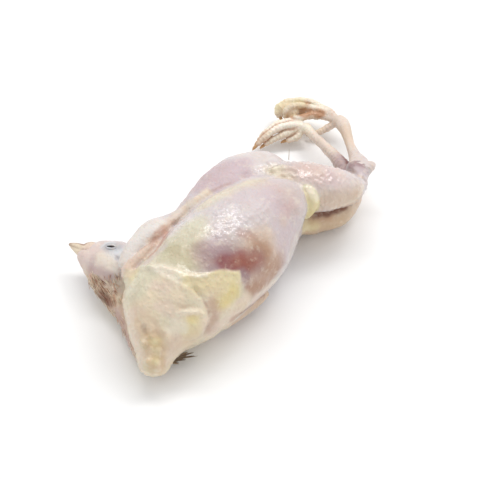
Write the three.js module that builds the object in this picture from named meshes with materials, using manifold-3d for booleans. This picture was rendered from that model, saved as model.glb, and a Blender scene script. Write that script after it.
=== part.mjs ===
// A whole raw quail, plucked, with its head and feet on, lying on its right side and back.
// Millimetres, +Z up. +Y runs along the trunk from the crop to the tail, +X to the belly side,
// and the origin is on the resting surface under the middle of the trunk.
import * as THREE from "three";
import { mergeVertices } from "three/addons/utils/BufferGeometryUtils.js";
import Module from "manifold-3d";

const wasm = await Module();
wasm.setup();

// Driving dimensions
const TRUNK_LENGTH = 78;
const TRUNK_FRONT = -28.5;
const TRUNK_HALF_WIDTH = 19.7;
const TRUNK_HALF_HEIGHT = 20.4;
const DRUMSTICK_RADIUS = 9;
const FOREARM_RADIUS = 3.8;
const NECK_RADIUS = 4.4;
const SKULL_RADIUS = 9.4;
const BILL_RADIUS = 2.6;
const SHANK_RADIUS = 2.1;
const HOCK_RADIUS = 3.3;
const BALL_RADIUS = 2.8;
const TOE_RADIUS = 1.8;
const CLAW_LENGTH = 2.4;
const CLAW_TIP_RADIUS = 0.35;
const FLOOR_DEPTH = 30;
const FLOOR_SIZE = 400;

// Places of the joints
const LEFT_KNEE = [3, 43, 25.5];
const LEFT_HOCK = [24.3, 74.6, 17];
const LEFT_BALL = [0.4, 102.4, 8];
const RIGHT_KNEE = [10, 44, 8.4];
const RIGHT_HOCK = [19, 75.5, 8.8];
const RIGHT_BALL = [-10.4, 93.6, 7];
const LEFT_WRIST = [-26, -15.4, 21.4];
const LEFT_ELBOW = [-22, 8.8, 25.8];
const LEFT_SHOULDER = [-13, -19, 21];
const RIGHT_WRIST = [6, -15, 7];
const RIGHT_ELBOW = [17.8, 11.4, 6.5];
const RIGHT_SHOULDER = [4.5, -19.5, 14];
const SKULL = [-34, -8, 10.2];
const BILL_TIP = [-55.6, -7.4, 10.6];

// Mesh density
const FINE = { around: 30, along: 20 };
const MEDIUM = { around: 18, along: 14 };
const COARSE = { around: 10, along: 9 };
const SMALL = { around: 7, along: 12 };
const TINY = { around: 6, along: 5 };

const UP = new THREE.Vector3(0, 0, 1);

// A smooth curve of numbers through values that are evenly spaced along a path.
function profile(values) {
  const curve = new THREE.CatmullRomCurve3(values.map((value) => new THREE.Vector3(value, 0, 0)));
  return (t) => curve.getPoint(t).x;
}

// A closed limb: a sphere drawn out along a smooth path. Each station is a place on the path
// with the section's half width and its half height, and both ends are rounded.
function limb(stations, density) {
  const path = new THREE.CatmullRomCurve3(stations.map(([place]) => new THREE.Vector3(...place)));
  const halfWidth = profile(stations.map(([, width]) => width));
  const halfHeight = profile(stations.map(([, width, height = width]) => height));
  const length = path.getLength();
  const geometry = new THREE.SphereGeometry(1, density.around, density.along);
  const position = geometry.getAttribute("position");
  const unit = new THREE.Vector3();
  for (let i = 0; i < position.count; i++) {
    unit.fromBufferAttribute(position, i);
    const t = (1 - unit.y) / 2;
    const along = path.getTangent(t);
    const side = new THREE.Vector3().crossVectors(along, UP).normalize();
    const over = new THREE.Vector3().crossVectors(side, along);
    const angle = Math.atan2(unit.z, unit.x);
    const fromStart = Math.min(1, (t * length) / halfWidth(0));
    const fromEnd = Math.min(1, ((1 - t) * length) / halfWidth(1));
    const swell = Math.sqrt((1 - (1 - fromStart) ** 2) * (1 - (1 - fromEnd) ** 2));
    const point = path
      .getPoint(t)
      .addScaledVector(side, halfWidth(t) * swell * Math.cos(angle))
      .addScaledVector(over, -halfHeight(t) * swell * Math.sin(angle));
    position.setXYZ(i, point.x, point.y, point.z);
  }
  return solid(geometry);
}

function ellipsoid(centre, halves, density) {
  const geometry = new THREE.SphereGeometry(1, density.around, density.along);
  return solid(geometry.scale(...halves).translate(...centre));
}

function ball(centre, radius) {
  return ellipsoid(centre, [radius, radius, radius], COARSE);
}

function solid(geometry) {
  geometry.deleteAttribute("normal");
  geometry.deleteAttribute("uv");
  const merged = mergeVertices(geometry, 1e-4);
  return new wasm.Manifold(
    new wasm.Mesh({
      numProp: 3,
      vertProperties: merged.attributes.position.array,
      triVerts: new Uint32Array(merged.index.array),
    }),
  );
}

// The breast on the rib cage, from the shoulders to the vent, the belly and the back under it.
function trunk() {
  const station = (share, x, z, width, height) => [
    [x, TRUNK_FRONT + TRUNK_LENGTH * share, z],
    TRUNK_HALF_WIDTH * width,
    TRUNK_HALF_HEIGHT * height,
  ];
  const breast = limb(
    [
      station(0, -5, 14.5, 0.7, 0.6),
      station(0.21, -3.7, 17.2, 0.9, 0.88),
      station(0.43, -0.2, 18.8, 1, 0.99),
      station(0.65, 2.8, 19, 0.92, 1),
      station(0.85, 1.8, 16.5, 0.75, 0.78),
      station(1, -1, 13, 0.42, 0.4),
    ],
    FINE,
  );
  const back = limb(
    [
      station(0.05, -6, 10, 0.52, 0.5),
      station(0.3, -6, 11, 0.75, 0.55),
      station(0.7, -5, 12, 0.78, 0.6),
      station(1, -5, 12, 0.52, 0.5),
    ],
    MEDIUM,
  );
  const belly = ellipsoid([9.8, 35.3, 26.4], [9.8, 9, 9.2], MEDIUM);
  return breast.add(back).add(belly);
}

// The fat skin of the crop, drawn out to the bend of the neck.
function crop() {
  return limb(
    [
      [[0.6, -40.6, 7], 4, 5],
      [[-2, -34.5, 9.2], 6.8, 7.6],
      [[-5, -25.5, 13], 12.4, 12],
      [[-7, -15, 16.5], 16.5, 15.5],
      [[-6.5, -2, 18], 17, 16.5],
    ],
    FINE,
  );
}

function neck() {
  return limb(
    [
      [[-1, -32, 6], NECK_RADIUS],
      [[-5.5, -32.5, 6.2], NECK_RADIUS * 1.1],
      [[-11, -29.5, 6.4], NECK_RADIUS],
      [[-18.5, -24, 6.4], NECK_RADIUS],
      [[-26, -17.5, 7.2], NECK_RADIUS * 1.15],
      [[-32, -10, 9], NECK_RADIUS * 1.35],
    ],
    MEDIUM,
  );
}

// The head on its side: the bill points to -X and the crown to +Y.
function head() {
  const [x, y, z] = SKULL;
  const skull = limb(
    [
      [[x + 11, y - 1, z], SKULL_RADIUS * 0.64],
      [[x + 4, y - 0.5, z], SKULL_RADIUS],
      [[x - 3, y + 0.5, z + 0.3], SKULL_RADIUS * 0.96],
      [[x - 9, y + 1.5, z + 0.6], SKULL_RADIUS * 0.66, SKULL_RADIUS * 0.57],
      [[x - 13, y + 1.7, z + 0.8], SKULL_RADIUS * 0.32],
    ],
    MEDIUM,
  );
  const eye = ellipsoid([x - 1.8, y + 1.8, z + 5.4], [4.2, 3.4, 3.8], COARSE);
  const upperBill = limb(
    [
      [[x - 8.5, y + 2, z + 1], BILL_RADIUS * 1.3],
      [[x - 15.4, y + 0.6, z + 1.2], BILL_RADIUS * 0.75],
      [BILL_TIP, BILL_RADIUS * 0.25],
    ],
    COARSE,
  );
  const lowerBill = limb(
    [
      [[x - 9.5, y - 1.2, z + 0.6], BILL_RADIUS * 1.1],
      [[x - 14.5, y - 1, z + 0.6], BILL_RADIUS * 0.75],
      [[x - 20.6, y + 0.1, z + 0.3], BILL_RADIUS * 0.25],
    ],
    COARSE,
  );
  const chin = limb(
    [
      [[x - 15.8, y - 0.7, z + 0.6], 1.9],
      [[x - 11.3, y - 2.6, z + 0.3], 3.2],
      [[x - 6, y - 3.5, z - 0.2], 5.4],
    ],
    COARSE,
  );
  const throat = limb(
    [
      [[x - 10.5, y - 2.4, z - 0.8], 3.4],
      [[x - 4, y - 6.1, z - 2], 3.9],
      [[x + 0.6, y - 8.9, z - 3.2], 3.6],
      [[x + 5.2, y - 11, z - 4.2], 3.1],
      [[x + 9, y - 14, z - 5.2], 2.4],
    ],
    COARSE,
  );
  return [eye, upperBill, lowerBill, chin, throat].reduce((whole, piece) => whole.add(piece), skull);
}

// The upper wing, folded flat: the forearm outside and the hand laid back over it.
function leftWing() {
  const upperArm = limb([[LEFT_SHOULDER, 5], [[-18.5, -5, 22.5], 5.2], [[-22.5, 7, 25], 4.2]], MEDIUM);
  const forearm = limb(
    [
      [LEFT_WRIST, FOREARM_RADIUS * 0.68],
      [[-26.4, -10.6, 23], FOREARM_RADIUS * 0.92],
      [[-25.8, -4.5, 24.6], FOREARM_RADIUS * 0.97],
      [[-24.2, 2.5, 25.8], FOREARM_RADIUS],
      [LEFT_ELBOW, FOREARM_RADIUS],
    ],
    MEDIUM,
  );
  const hand = limb(
    [
      [[-23.9, -17.4, 22.6], 1.7],
      [[-23.2, -15, 25], 1.9, 1.7],
      [[-21.7, -11, 26.7], 1.8, 1.6],
      [[-20.3, -7, 27.8], 1.6, 1.5],
      [[-19, -3.8, 28.2], 1.3, 1.2],
    ],
    COARSE,
  );
  return upperArm.add(forearm).add(hand);
}

// The lower wing, mostly under the body: the edge of its forearm shows along the flank.
function rightWing() {
  const shoulder = ellipsoid([3.8, -20, 15], [6.8, 7.4, 8.4], MEDIUM);
  const upperArm = limb([[RIGHT_SHOULDER, 5.4], [[8, -6, 9], 5], [[11, 6, 6], 4]], COARSE);
  const forearm = limb(
    [
      [RIGHT_WRIST, FOREARM_RADIUS * 0.58],
      [[10.3, -6.8, 6.8], FOREARM_RADIUS * 0.8],
      [[12.9, 0.2, 6.4], FOREARM_RADIUS * 0.9],
      [[15.6, 7.2, 6.5], FOREARM_RADIUS * 0.7],
      [RIGHT_ELBOW, FOREARM_RADIUS * 0.26],
    ],
    COARSE,
  );
  return shoulder.add(upperArm).add(forearm);
}

// The loose skin between the elbow of the upper wing and the thigh.
function flankFold() {
  return limb([[[-21.5, 8, 22.5], 3.4], [[-18.5, 17, 24], 4], [[-14.5, 27, 26], 3.6]], COARSE);
}

function rump() {
  const hips = ellipsoid([-4, 44, 13.5], [13.5, 13, 13], MEDIUM);
  const tail = limb([[[-8, 50, 9], 7, 6], [[-10.5, 58, 8], 5.5, 4.5], [[-12, 64, 7], 2.5, 2]], COARSE);
  return hips.add(tail);
}

function leftLeg() {
  const thigh = limb(
    [
      [[-15.6, 12, 19.8], 7.5, 9],
      [[-14, 22.2, 20.3], 10.1, 11],
      [[-11.4, 35, 20.6], 12, 13],
      [[-5, 46.2, 21], 11.6, 12],
      [[3, 55, 22], 8.4, 8.4],
    ],
    MEDIUM,
  );
  const drumstick = limb(
    [
      [[-5, 37.5, 25.5], DRUMSTICK_RADIUS * 0.78],
      [LEFT_KNEE, DRUMSTICK_RADIUS * 0.93],
      [[11, 47.6, 25], DRUMSTICK_RADIUS],
      [[17.2, 52, 23.5], DRUMSTICK_RADIUS * 0.98],
      [[21.4, 56, 22], DRUMSTICK_RADIUS * 0.84],
      [[25.5, 60.3, 20], DRUMSTICK_RADIUS * 0.64],
      [[27.5, 64.6, 18.5], DRUMSTICK_RADIUS * 0.47],
      [[27, 69.8, 17.5], DRUMSTICK_RADIUS * 0.38],
      [LEFT_HOCK, HOCK_RADIUS],
    ],
    MEDIUM,
  );
  const heel = limb([[[23, 74.5, 17], HOCK_RADIUS * 0.8], [[26.2, 78.8, 17.2], HOCK_RADIUS * 0.36]], TINY);
  const shank = limb(
    [
      [LEFT_HOCK, SHANK_RADIUS * 1.5],
      [[18.3, 80.1, 16], SHANK_RADIUS],
      [[13.1, 86.9, 13.5], SHANK_RADIUS * 0.86],
      [[7.7, 94.9, 10.8], SHANK_RADIUS * 1.05],
      [[4, 99.4, 9.4], SHANK_RADIUS * 1.33],
      [LEFT_BALL, SHANK_RADIUS * 1.24],
    ],
    COARSE,
  );
  return [drumstick, heel, shank, ball(LEFT_HOCK, HOCK_RADIUS), ball(LEFT_BALL, BALL_RADIUS)].reduce(
    (whole, piece) => whole.add(piece),
    thigh,
  );
}

function rightLeg() {
  const thigh = ellipsoid([5.5, 38, 10.5], [11, 12, 10], MEDIUM);
  const drumstick = limb(
    [
      [RIGHT_KNEE, DRUMSTICK_RADIUS * 0.76],
      [[16, 52.8, 7.8], DRUMSTICK_RADIUS * 0.78],
      [[21.5, 58.7, 8], DRUMSTICK_RADIUS * 0.74],
      [[24, 67, 8.5], DRUMSTICK_RADIUS * 0.56],
      [RIGHT_HOCK, HOCK_RADIUS],
    ],
    MEDIUM,
  );
  const shank = limb(
    [
      [RIGHT_HOCK, SHANK_RADIUS * 1.5],
      [[13, 79.6, 9.2], SHANK_RADIUS * 1.4],
      [[8, 82.6, 9.4], SHANK_RADIUS * 1.1],
      [[-4.5, 89.8, 8], SHANK_RADIUS * 0.9],
      [RIGHT_BALL, SHANK_RADIUS * 1.2],
    ],
    COARSE,
  );
  return [drumstick, shank, ball(RIGHT_HOCK, HOCK_RADIUS), ball(RIGHT_BALL, BALL_RADIUS)].reduce(
    (whole, piece) => whole.add(piece),
    thigh,
  );
}

// A toe from the ball of the foot through its joints, with a claw on its end.
function toe(joints) {
  const last = joints.length - 1;
  const end = new THREE.Vector3(...joints[last]);
  const way = end.clone().sub(new THREE.Vector3(...joints[last - 1])).normalize();
  const root = end.clone().addScaledVector(way, -TOE_RADIUS);
  const tip = end.clone().addScaledVector(way, CLAW_LENGTH);
  const claw = limb(
    [
      [root.toArray(), TOE_RADIUS * 0.7],
      [end.toArray(), TOE_RADIUS * 0.6],
      [tip.toArray(), CLAW_TIP_RADIUS],
    ],
    TINY,
  );
  const taper = (i) => TOE_RADIUS * (1.05 - (0.3 * i) / last);
  return limb(joints.map((joint, i) => [joint, taper(i)]), SMALL).add(claw);
}

// The clenched foot of the upper leg: the front toes curl over the palm and back under themselves.
function leftFoot() {
  const toes = [
    [
      [-4.9, 103.8, 9.2], [-12.8, 105, 9.5], [-17.3, 103.1, 10],
      [-21.6, 100.7, 9.5], [-23.7, 96.4, 7.8], [-22.2, 95.3, 5],
    ],
    [
      [-5.6, 102.9, 9], [-11.4, 101.4, 10], [-15.2, 99.8, 11],
      [-18.4, 96.4, 11], [-19.4, 94.7, 8.5], [-17.7, 95.3, 6],
    ],
    [
      [-5.4, 101.6, 8], [-9.9, 99.4, 8.5], [-12.1, 95.9, 9],
      [-14.5, 94.2, 9], [-16.6, 94.1, 7.5], [-16.3, 95.4, 5.5],
    ],
    [[-2.6, 98.9, 5], [-4.8, 96.2, 4], [-7.5, 94.5, 2.8]],
  ].map((joints) => toe([LEFT_BALL, ...joints]));
  const palm = limb(
    [
      [[-8, 102.6, 6.8], 2],
      [[-12.5, 102, 6.8], 2.6],
      [[-19, 100, 6.8], 3.2],
      [[-23.5, 98, 6.4], 2],
    ],
    COARSE,
  );
  const pad = ellipsoid([-18, 97, 8.4], [3.4, 3, 2.9], COARSE);
  return toes.reduce((foot, piece) => foot.add(piece), palm).add(pad);
}

// The open foot of the lower leg: three front toes reaching to the rump, and the hind toe.
function rightFoot() {
  return [
    [[-14.5, 90, 8.6], [-18.4, 86, 8.2], [-21.2, 81, 6.4], [-23.2, 77, 4]],
    [[-15.4, 86.7, 6], [-19, 82.5, 4.5], [-21, 79.6, 3.2]],
    [[-15.8, 92.4, 8], [-20, 88, 7.8], [-22.6, 82.6, 6], [-23.6, 79, 4.2]],
    [[-11.1, 88.9, 4.5], [-14.6, 85.9, 3.4]],
  ]
    .map((joints) => toe([RIGHT_BALL, ...joints]))
    .reduce((foot, piece) => foot.add(piece));
}

// The roll of fat on the rear edge of the breast.
function fatRoll() {
  return limb(
    [
      [[13.4, 43.6, 32.8], 0.7],
      [[15.6, 43.4, 31.2], 1.6],
      [[17.4, 42.9, 28.6], 2.4],
      [[18.3, 42.2, 25.2], 2.7],
      [[18, 41.6, 21.6], 2.2],
      [[16.2, 41, 17.6], 1.1],
    ],
    COARSE,
  );
}

// The surface that the bird lies on, which flattens whatever would sink into it.
function floor() {
  const slab = new THREE.BoxGeometry(FLOOR_SIZE, FLOOR_SIZE, FLOOR_DEPTH);
  return solid(slab.translate(0, 0, -FLOOR_DEPTH / 2));
}

function quail() {
  const pieces = [
    trunk(),
    crop(),
    neck(),
    head(),
    leftWing(),
    rightWing(),
    flankFold(),
    rump(),
    leftLeg(),
    rightLeg(),
    leftFoot(),
    rightFoot(),
    fatRoll(),
  ];
  const mesh = pieces
    .reduce((whole, piece) => whole.add(piece))
    .subtract(floor())
    .getMesh();
  const geometry = new THREE.BufferGeometry()
    .setAttribute("position", new THREE.BufferAttribute(mesh.vertProperties, mesh.numProp))
    .setIndex(new THREE.BufferAttribute(mesh.triVerts, 1));
  const skin = new THREE.MeshStandardMaterial({ color: 0xdcc8b8, roughness: 0.35, metalness: 0 });
  const bird = new THREE.Mesh(geometry, skin);
  bird.name = "quail";
  return bird;
}

const whole = new THREE.Group();
whole.add(quail());

export default whole;
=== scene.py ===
"""A whole raw quail, plucked, with its head, wings and feet on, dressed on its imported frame.

Shapes are worked out in millimetres in the frame of the part: +Y along the trunk from the
crop to the tail, +Z up, +X to the belly side. Meshes are written in metres.
"""
import math

import bpy
import numpy as np
import openvdb
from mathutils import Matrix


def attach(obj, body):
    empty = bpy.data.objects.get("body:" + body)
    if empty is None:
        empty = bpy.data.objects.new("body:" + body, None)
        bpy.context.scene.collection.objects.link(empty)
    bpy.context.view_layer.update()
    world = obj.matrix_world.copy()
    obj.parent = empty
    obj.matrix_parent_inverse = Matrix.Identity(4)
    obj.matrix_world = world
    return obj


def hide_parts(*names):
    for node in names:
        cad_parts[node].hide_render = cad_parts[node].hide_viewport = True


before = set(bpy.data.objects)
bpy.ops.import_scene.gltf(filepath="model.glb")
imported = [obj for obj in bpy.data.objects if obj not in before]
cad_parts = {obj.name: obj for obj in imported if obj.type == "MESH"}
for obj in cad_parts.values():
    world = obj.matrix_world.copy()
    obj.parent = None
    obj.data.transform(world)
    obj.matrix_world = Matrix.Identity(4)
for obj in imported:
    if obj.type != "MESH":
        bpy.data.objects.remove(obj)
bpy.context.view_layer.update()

MM = 0.001
SEED = 20
# Steps that the length of a path is measured in
PATH_STEPS = 200

# Grids that the soft solids are worked out on
SKIN_VOXEL = 0.5
SKIN_LOW = np.array([-62.0, -46.0, -4.0])
SKIN_HIGH = np.array([36.0, 86.0, 46.0])
FOOT_VOXEL = 0.3
FOOT_LOW = np.array([-32.0, 62.0, -3.0])
FOOT_HIGH = np.array([36.0, 114.0, 28.0])
BILL_VOXEL = 0.2
BILL_LOW = np.array([-60.0, -16.0, 2.0])
BILL_HIGH = np.array([-36.0, 4.0, 20.0])
BLEND_BAND = 7.5

# Camera
CAMERA_AZIMUTH = math.radians(29.2)
CAMERA_ELEVATION = math.radians(49.0)
CAMERA_AIM = (-6.2, 33.2, 0.0)
CAMERA_DISTANCE = 517.5
CAMERA_VIEW_ANGLE = math.radians(20.0)
CAMERA_SENSOR = 36
CAMERA_NEAR = 10


# Colours, as 8-bit screen values


def tint(red, green, blue):
    """A screen colour as the linear colour that shaders take."""
    screen = np.array([red, green, blue]) / 255
    return np.where(screen <= 0.04045, screen / 12.92, ((screen + 0.055) / 1.055) ** 2.4)


CREAM = tint(231, 214, 184)
PALE_CREAM = tint(238, 229, 210)
IVORY = tint(250, 242, 230)
BUTTER = tint(226, 213, 164)
DEEP_BUTTER = tint(224, 205, 126)
LAVENDER = tint(206, 195, 195)
MAUVE = tint(197, 177, 181)
TAUPE = tint(172, 150, 136)
GREY_GREEN = tint(214, 207, 180)
KHAKI = tint(184, 174, 140)
PINK = tint(224, 201, 190)
ROSE = tint(200, 146, 132)
TAN = tint(210, 182, 152)
OCHRE = tint(192, 160, 110)
RUST = tint(184, 130, 96)
RUSSET = tint(166, 120, 86)
BROWN = tint(132, 84, 64)
SIENNA = tint(118, 64, 32)
MAROON = tint(140, 80, 80)
BLOOD = tint(150, 84, 66)
UMBER = tint(168, 122, 102)
PURPLE = tint(168, 141, 147)
PLUM = tint(146, 114, 118)
CINNAMON = tint(174, 114, 68)
PALE = tint(223, 216, 210)
BLUE_GREY = tint(206, 209, 213)
SLATE = tint(122, 116, 122)
HORN = tint(230, 214, 190)
FOOT = tint(222, 206, 194)
CLAW = tint(196, 152, 106)
EYELID = tint(190, 190, 196)
EYE = tint(22, 18, 20)
# Tones that materials blot over the painted colours
SKIN_MOTTLE = tint(188, 160, 140)
SKIN_FAT = tint(240, 230, 210)
SKIN_PORE = tint(176, 144, 128)
FOOT_MOTTLE = tint(214, 184, 152)
HORN_STAIN = tint(186, 150, 112)
EYE_SHADE = tint(50, 44, 46)
FEATHER_STAIN = tint(126, 90, 70)


# Smooth paths and closed limbs


def spline(rows, share):
    """Points of a smooth curve through the rows, at shares 0 to 1 of the way along."""
    rows = np.asarray(rows, float)
    last = len(rows) - 1
    padded = np.vstack([2 * rows[0] - rows[1], rows, 2 * rows[-1] - rows[-2]])
    place = np.clip(np.asarray(share, float) * last, 0, last)
    first = np.minimum(place.astype(int), last - 1)
    t = (place - first)[:, None]
    a, b, c, d = (padded[first + step] for step in range(4))
    return b + 0.5 * t * (c - a + t * (2 * a - 5 * b + 4 * c - d + t * (3 * (b - c) + d - a)))


def station_rows(stations):
    """Rows of x, y, z, half width and half height from stations of a place and one or two halves."""
    return np.array([[*place, halves[0], halves[-1]] for place, *halves in stations], float)


def limb_mesh(stations, around=40, along=48):
    """A sphere drawn out along a smooth path, with round ends, as points, quads and triangles."""
    rows = station_rows(stations)
    angle = np.linspace(0, math.pi, along + 1)[1:-1]
    share = (1 - np.cos(angle)) / 2
    ring = spline(rows, share)
    centre, wide, tall = ring[:, :3], ring[:, 3], ring[:, 4]
    fine = spline(rows, np.linspace(0, 1, PATH_STEPS))[:, :3]
    length = np.linalg.norm(np.diff(fine, axis=0), axis=1).sum()
    step = 0.002
    way = spline(rows, np.clip(share + step, 0, 1)) - spline(rows, np.clip(share - step, 0, 1))
    way = way[:, :3] / np.linalg.norm(way[:, :3], axis=1, keepdims=True)
    side = np.cross(way, [0, 0, 1])
    side /= np.linalg.norm(side, axis=1, keepdims=True)
    over = np.cross(side, way)
    from_start = np.minimum(1, share * length / rows[0, 3])
    from_end = np.minimum(1, (1 - share) * length / rows[-1, 3])
    swell = np.sqrt((1 - (1 - from_start) ** 2) * (1 - (1 - from_end) ** 2))
    turn = np.arange(around) * 2 * math.pi / around
    points = (
        centre[:, None]
        + (wide * swell)[:, None, None] * np.cos(turn)[None, :, None] * side[:, None]
        + (tall * swell)[:, None, None] * np.sin(turn)[None, :, None] * over[:, None]
    )
    return close_rings(points, rows[0, :3], rows[-1, :3])


def close_rings(points, start, end):
    """Points, quads and triangles of a tube of rings, closed at its two ends by a point."""
    rings, around = points.shape[:2]
    verts = np.vstack([points.reshape(-1, 3), start, end])
    i, j = np.meshgrid(np.arange(rings - 1), np.arange(around), indexing="ij")
    k = (j + 1) % around
    quads = np.stack([i * around + j, i * around + k, (i + 1) * around + k, (i + 1) * around + j], -1)
    j = np.arange(around)
    k = (j + 1) % around
    first = np.stack([np.full(around, len(verts) - 2), k, j], -1)
    top = (rings - 1) * around
    last = np.stack([np.full(around, len(verts) - 1), top + j, top + k], -1)
    return verts, quads.reshape(-1, 4), np.vstack([first, last])


def ball_mesh(centre, halves, around=40, along=40):
    """An ellipsoid as points, quads and triangles."""
    angle = np.linspace(0, math.pi, along + 1)[1:-1, None]
    turn = np.arange(around)[None] * 2 * math.pi / around
    wide = np.sin(angle)
    unit = np.stack([wide * np.cos(turn), -np.cos(angle) + 0 * turn, wide * np.sin(turn)], -1)
    pole = np.array([0, halves[1], 0])
    return close_rings(unit * halves + centre, centre - pole, centre + pole)


# Solids as distances on a grid


class Grid:
    """A box of evenly spaced points that solids are laid out on as signed distances."""

    def __init__(self, low, high, voxel):
        self.voxel = voxel
        self.first = tuple(int(v) for v in np.floor(low / voxel))
        self.size = tuple(int(v) for v in np.ceil((high - low) / voxel))
        self.transform = openvdb.createLinearTransform(voxelSize=voxel)

    def distance(self, mesh):
        """Distance to a closed mesh, below zero inside it."""
        verts, quads, tris = mesh
        level = openvdb.FloatGrid.createLevelSetFromPolygons(
            verts.astype(np.float32),
            tris.astype(np.uint32),
            quads.astype(np.uint32),
            self.transform,
            BLEND_BAND / self.voxel,
        )
        field = np.empty(self.size, np.float32)
        level.copyToArray(field, self.first)
        return field

    def solid(self, shape, *others):
        """A solid with others joined to it in turn, each with a fillet of its own size.

        A solid is a limb's list of stations, a ball's centre and halves, or distances laid out before.
        """
        if isinstance(shape, np.ndarray):
            field = shape
        elif isinstance(shape, list):
            field = self.distance(limb_mesh(shape))
        else:
            field = self.distance(ball_mesh(*np.array(shape, float)))
        for other, fillet in others:
            field = join(field, self.solid(other), fillet)
        return field

    def heights(self):
        """Height of each point above the floor."""
        z = (np.arange(self.size[2]) + self.first[2]) * self.voxel
        return np.broadcast_to(z, self.size)

    def surface(self, field):
        """Points and outward quads of the skin where the distance is zero."""
        level = openvdb.FloatGrid(BLEND_BAND)
        level.copyFromArray(field, self.first)
        level.transform = self.transform
        level.gridClass = openvdb.GridClass.LEVEL_SET
        points, quads = level.convertToQuads(0)
        return points.astype(float), quads[:, ::-1].astype(np.int64)


def join(a, b, round_mm):
    """Both solids as one, with a fillet of about the given size where they meet."""
    near = np.maximum(round_mm - np.abs(a - b), 0) / round_mm
    return np.minimum(a, b) - near * near * round_mm / 4


def cut(a, b, round_mm):
    """The part of a that is inside b, with its new edge rounded."""
    return -join(-a, -b, round_mm)


# Masks and noise on points of a surface


def soft(distance, inner, outer):
    """One up to the inner distance, zero beyond the outer one, and smooth between them."""
    t = np.clip((outer - distance) / (outer - inner), 0, 1)
    return t * t * (3 - 2 * t)


def path_distance(points, path):
    """Distance of each point from a line through the path's points."""
    path = np.asarray(path, float)
    if len(path) == 1:
        return np.linalg.norm(points - path[0], axis=1)
    nearest = np.full(len(points), np.inf)
    for a, b in zip(path[:-1], path[1:]):
        along = np.clip((points - a) @ (b - a) / ((b - a) @ (b - a)), 0, 1)
        nearest = np.minimum(nearest, np.linalg.norm(points - a - along[:, None] * (b - a), axis=1))
    return nearest


def limb_reach(points, stations, steps=40):
    """How far each point is from a limb's skin, and how far along the limb in millimetres."""
    rows = spline(station_rows(stations), np.linspace(0, 1, steps))
    length = np.concatenate([[0], np.cumsum(np.linalg.norm(np.diff(rows[:, :3], axis=0), axis=1))])
    gap = np.linalg.norm(points[:, None] - rows[None, :, :3], axis=2) - rows[None, :, 3:].mean(axis=2)
    return gap.min(axis=1), length[gap.argmin(axis=1)]


def on_limb(points, stations, inner, outer):
    """How much of each point belongs to a limb, by its distance from the limb's skin."""
    return soft(limb_reach(points, stations)[0], inner, outer)


class Noise:
    """Smooth seeded noise in space."""

    PERIOD = 32

    def __init__(self, seed):
        rng = np.random.default_rng(seed)
        self.values = rng.random((self.PERIOD,) * 3) * 2 - 1
        self.jitter = rng.random((self.PERIOD,) * 3 + (3,))

    def waves(self, points, size):
        """Soft waves of the given size, from -1 to 1."""
        place = points / size
        first = np.floor(place).astype(int)
        t = place - first
        t = t * t * (3 - 2 * t)
        total = np.zeros(len(points))
        for corner in np.ndindex(2, 2, 2):
            weight = np.prod(np.where(corner, t, 1 - t), axis=1)
            total += weight * self.values[tuple(((first + corner) % self.PERIOD).T)]
        return total

    def grains(self, points, spacing):
        """Distance to the nearest of many scattered points, as a share of their spacing."""
        place = points / spacing
        first = np.floor(place).astype(int)
        nearest = np.full(len(points), np.inf)
        for step in np.ndindex(3, 3, 3):
            cell = first + np.array(step) - 1
            grain = cell + self.jitter[tuple((cell % self.PERIOD).T)]
            nearest = np.minimum(nearest, np.linalg.norm(place - grain, axis=1))
        return nearest


def vertex_normals(verts, quads):
    """Outward normals at the points of a mesh of quads."""
    normals = np.zeros_like(verts)
    across = verts[quads[:, 2]] - verts[quads[:, 0]]
    other = verts[quads[:, 3]] - verts[quads[:, 1]]
    face = np.cross(across, other)
    for corner in range(4):
        np.add.at(normals, quads[:, corner], face)
    return normals / np.linalg.norm(normals, axis=1, keepdims=True)


class Paint:
    """Colour and shine laid on points of a surface, coat over coat.

    The border of a patch wavers by a share of its reach, in waves as long as another share of it.
    """

    WAVER = 0.22
    WAVE_LENGTH = 0.7

    def __init__(self, points, colour, noise, gloss=1.0):
        self.points = points
        self.noise = noise
        self.colour = np.tile(colour, (len(points), 1))
        self.gloss = np.full(len(points), gloss)

    def reach(self, inner, outer, path):
        """How much of each point a soft patch around a path covers, with an uneven border."""
        uneven = self.WAVER * outer * self.noise.waves(self.points, self.WAVE_LENGTH * outer)
        return soft(path_distance(self.points, path) + uneven, inner, outer)

    def wash(self, colour, share):
        """Lay a colour over each point by its share."""
        self.colour += share[:, None] * (colour - self.colour)

    def patches(self, rows, within=1.0):
        """Lay patches of colour one over another, inside a mask."""
        for colour, strength, inner, outer, *path in rows:
            self.wash(colour, within * strength * self.reach(inner, outer, path))

    def shine(self, rows):
        """Lay patches of shine one over another."""
        for gloss, inner, outer, *path in rows:
            self.gloss += self.reach(inner, outer, path) * (gloss - self.gloss)


# Meshes, pieces and materials


def add_mesh(name, verts, faces, smooth=True):
    """A mesh object from points in millimetres."""
    mesh = bpy.data.meshes.new(name)
    mesh.from_pydata((np.asarray(verts) * MM).tolist(), [], [list(map(int, face)) for face in faces])
    mesh.update()
    if smooth:
        mesh.polygons.foreach_set("use_smooth", np.ones(len(mesh.polygons), bool))
    piece = bpy.data.objects.new(name, mesh)
    bpy.context.scene.collection.objects.link(piece)
    return piece


def add_piece(name, slot, verts, faces, colours, material):
    """A painted piece of the bird, which stands for its solid."""
    piece = add_mesh(name, verts, faces)
    paint = piece.data.color_attributes.new("paint", "FLOAT_COLOR", "POINT")
    flat = np.ones((len(colours), 4), np.float32)
    flat[:, : colours.shape[1]] = np.clip(colours, 0, 1)
    paint.data.foreach_set("color", flat.ravel())
    piece.data.materials.append(material)
    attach(piece, "root")
    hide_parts("quail")


def one_tone(tone, verts):
    """The same tone for each point."""
    return np.tile(tone, (len(verts), 1))


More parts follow.
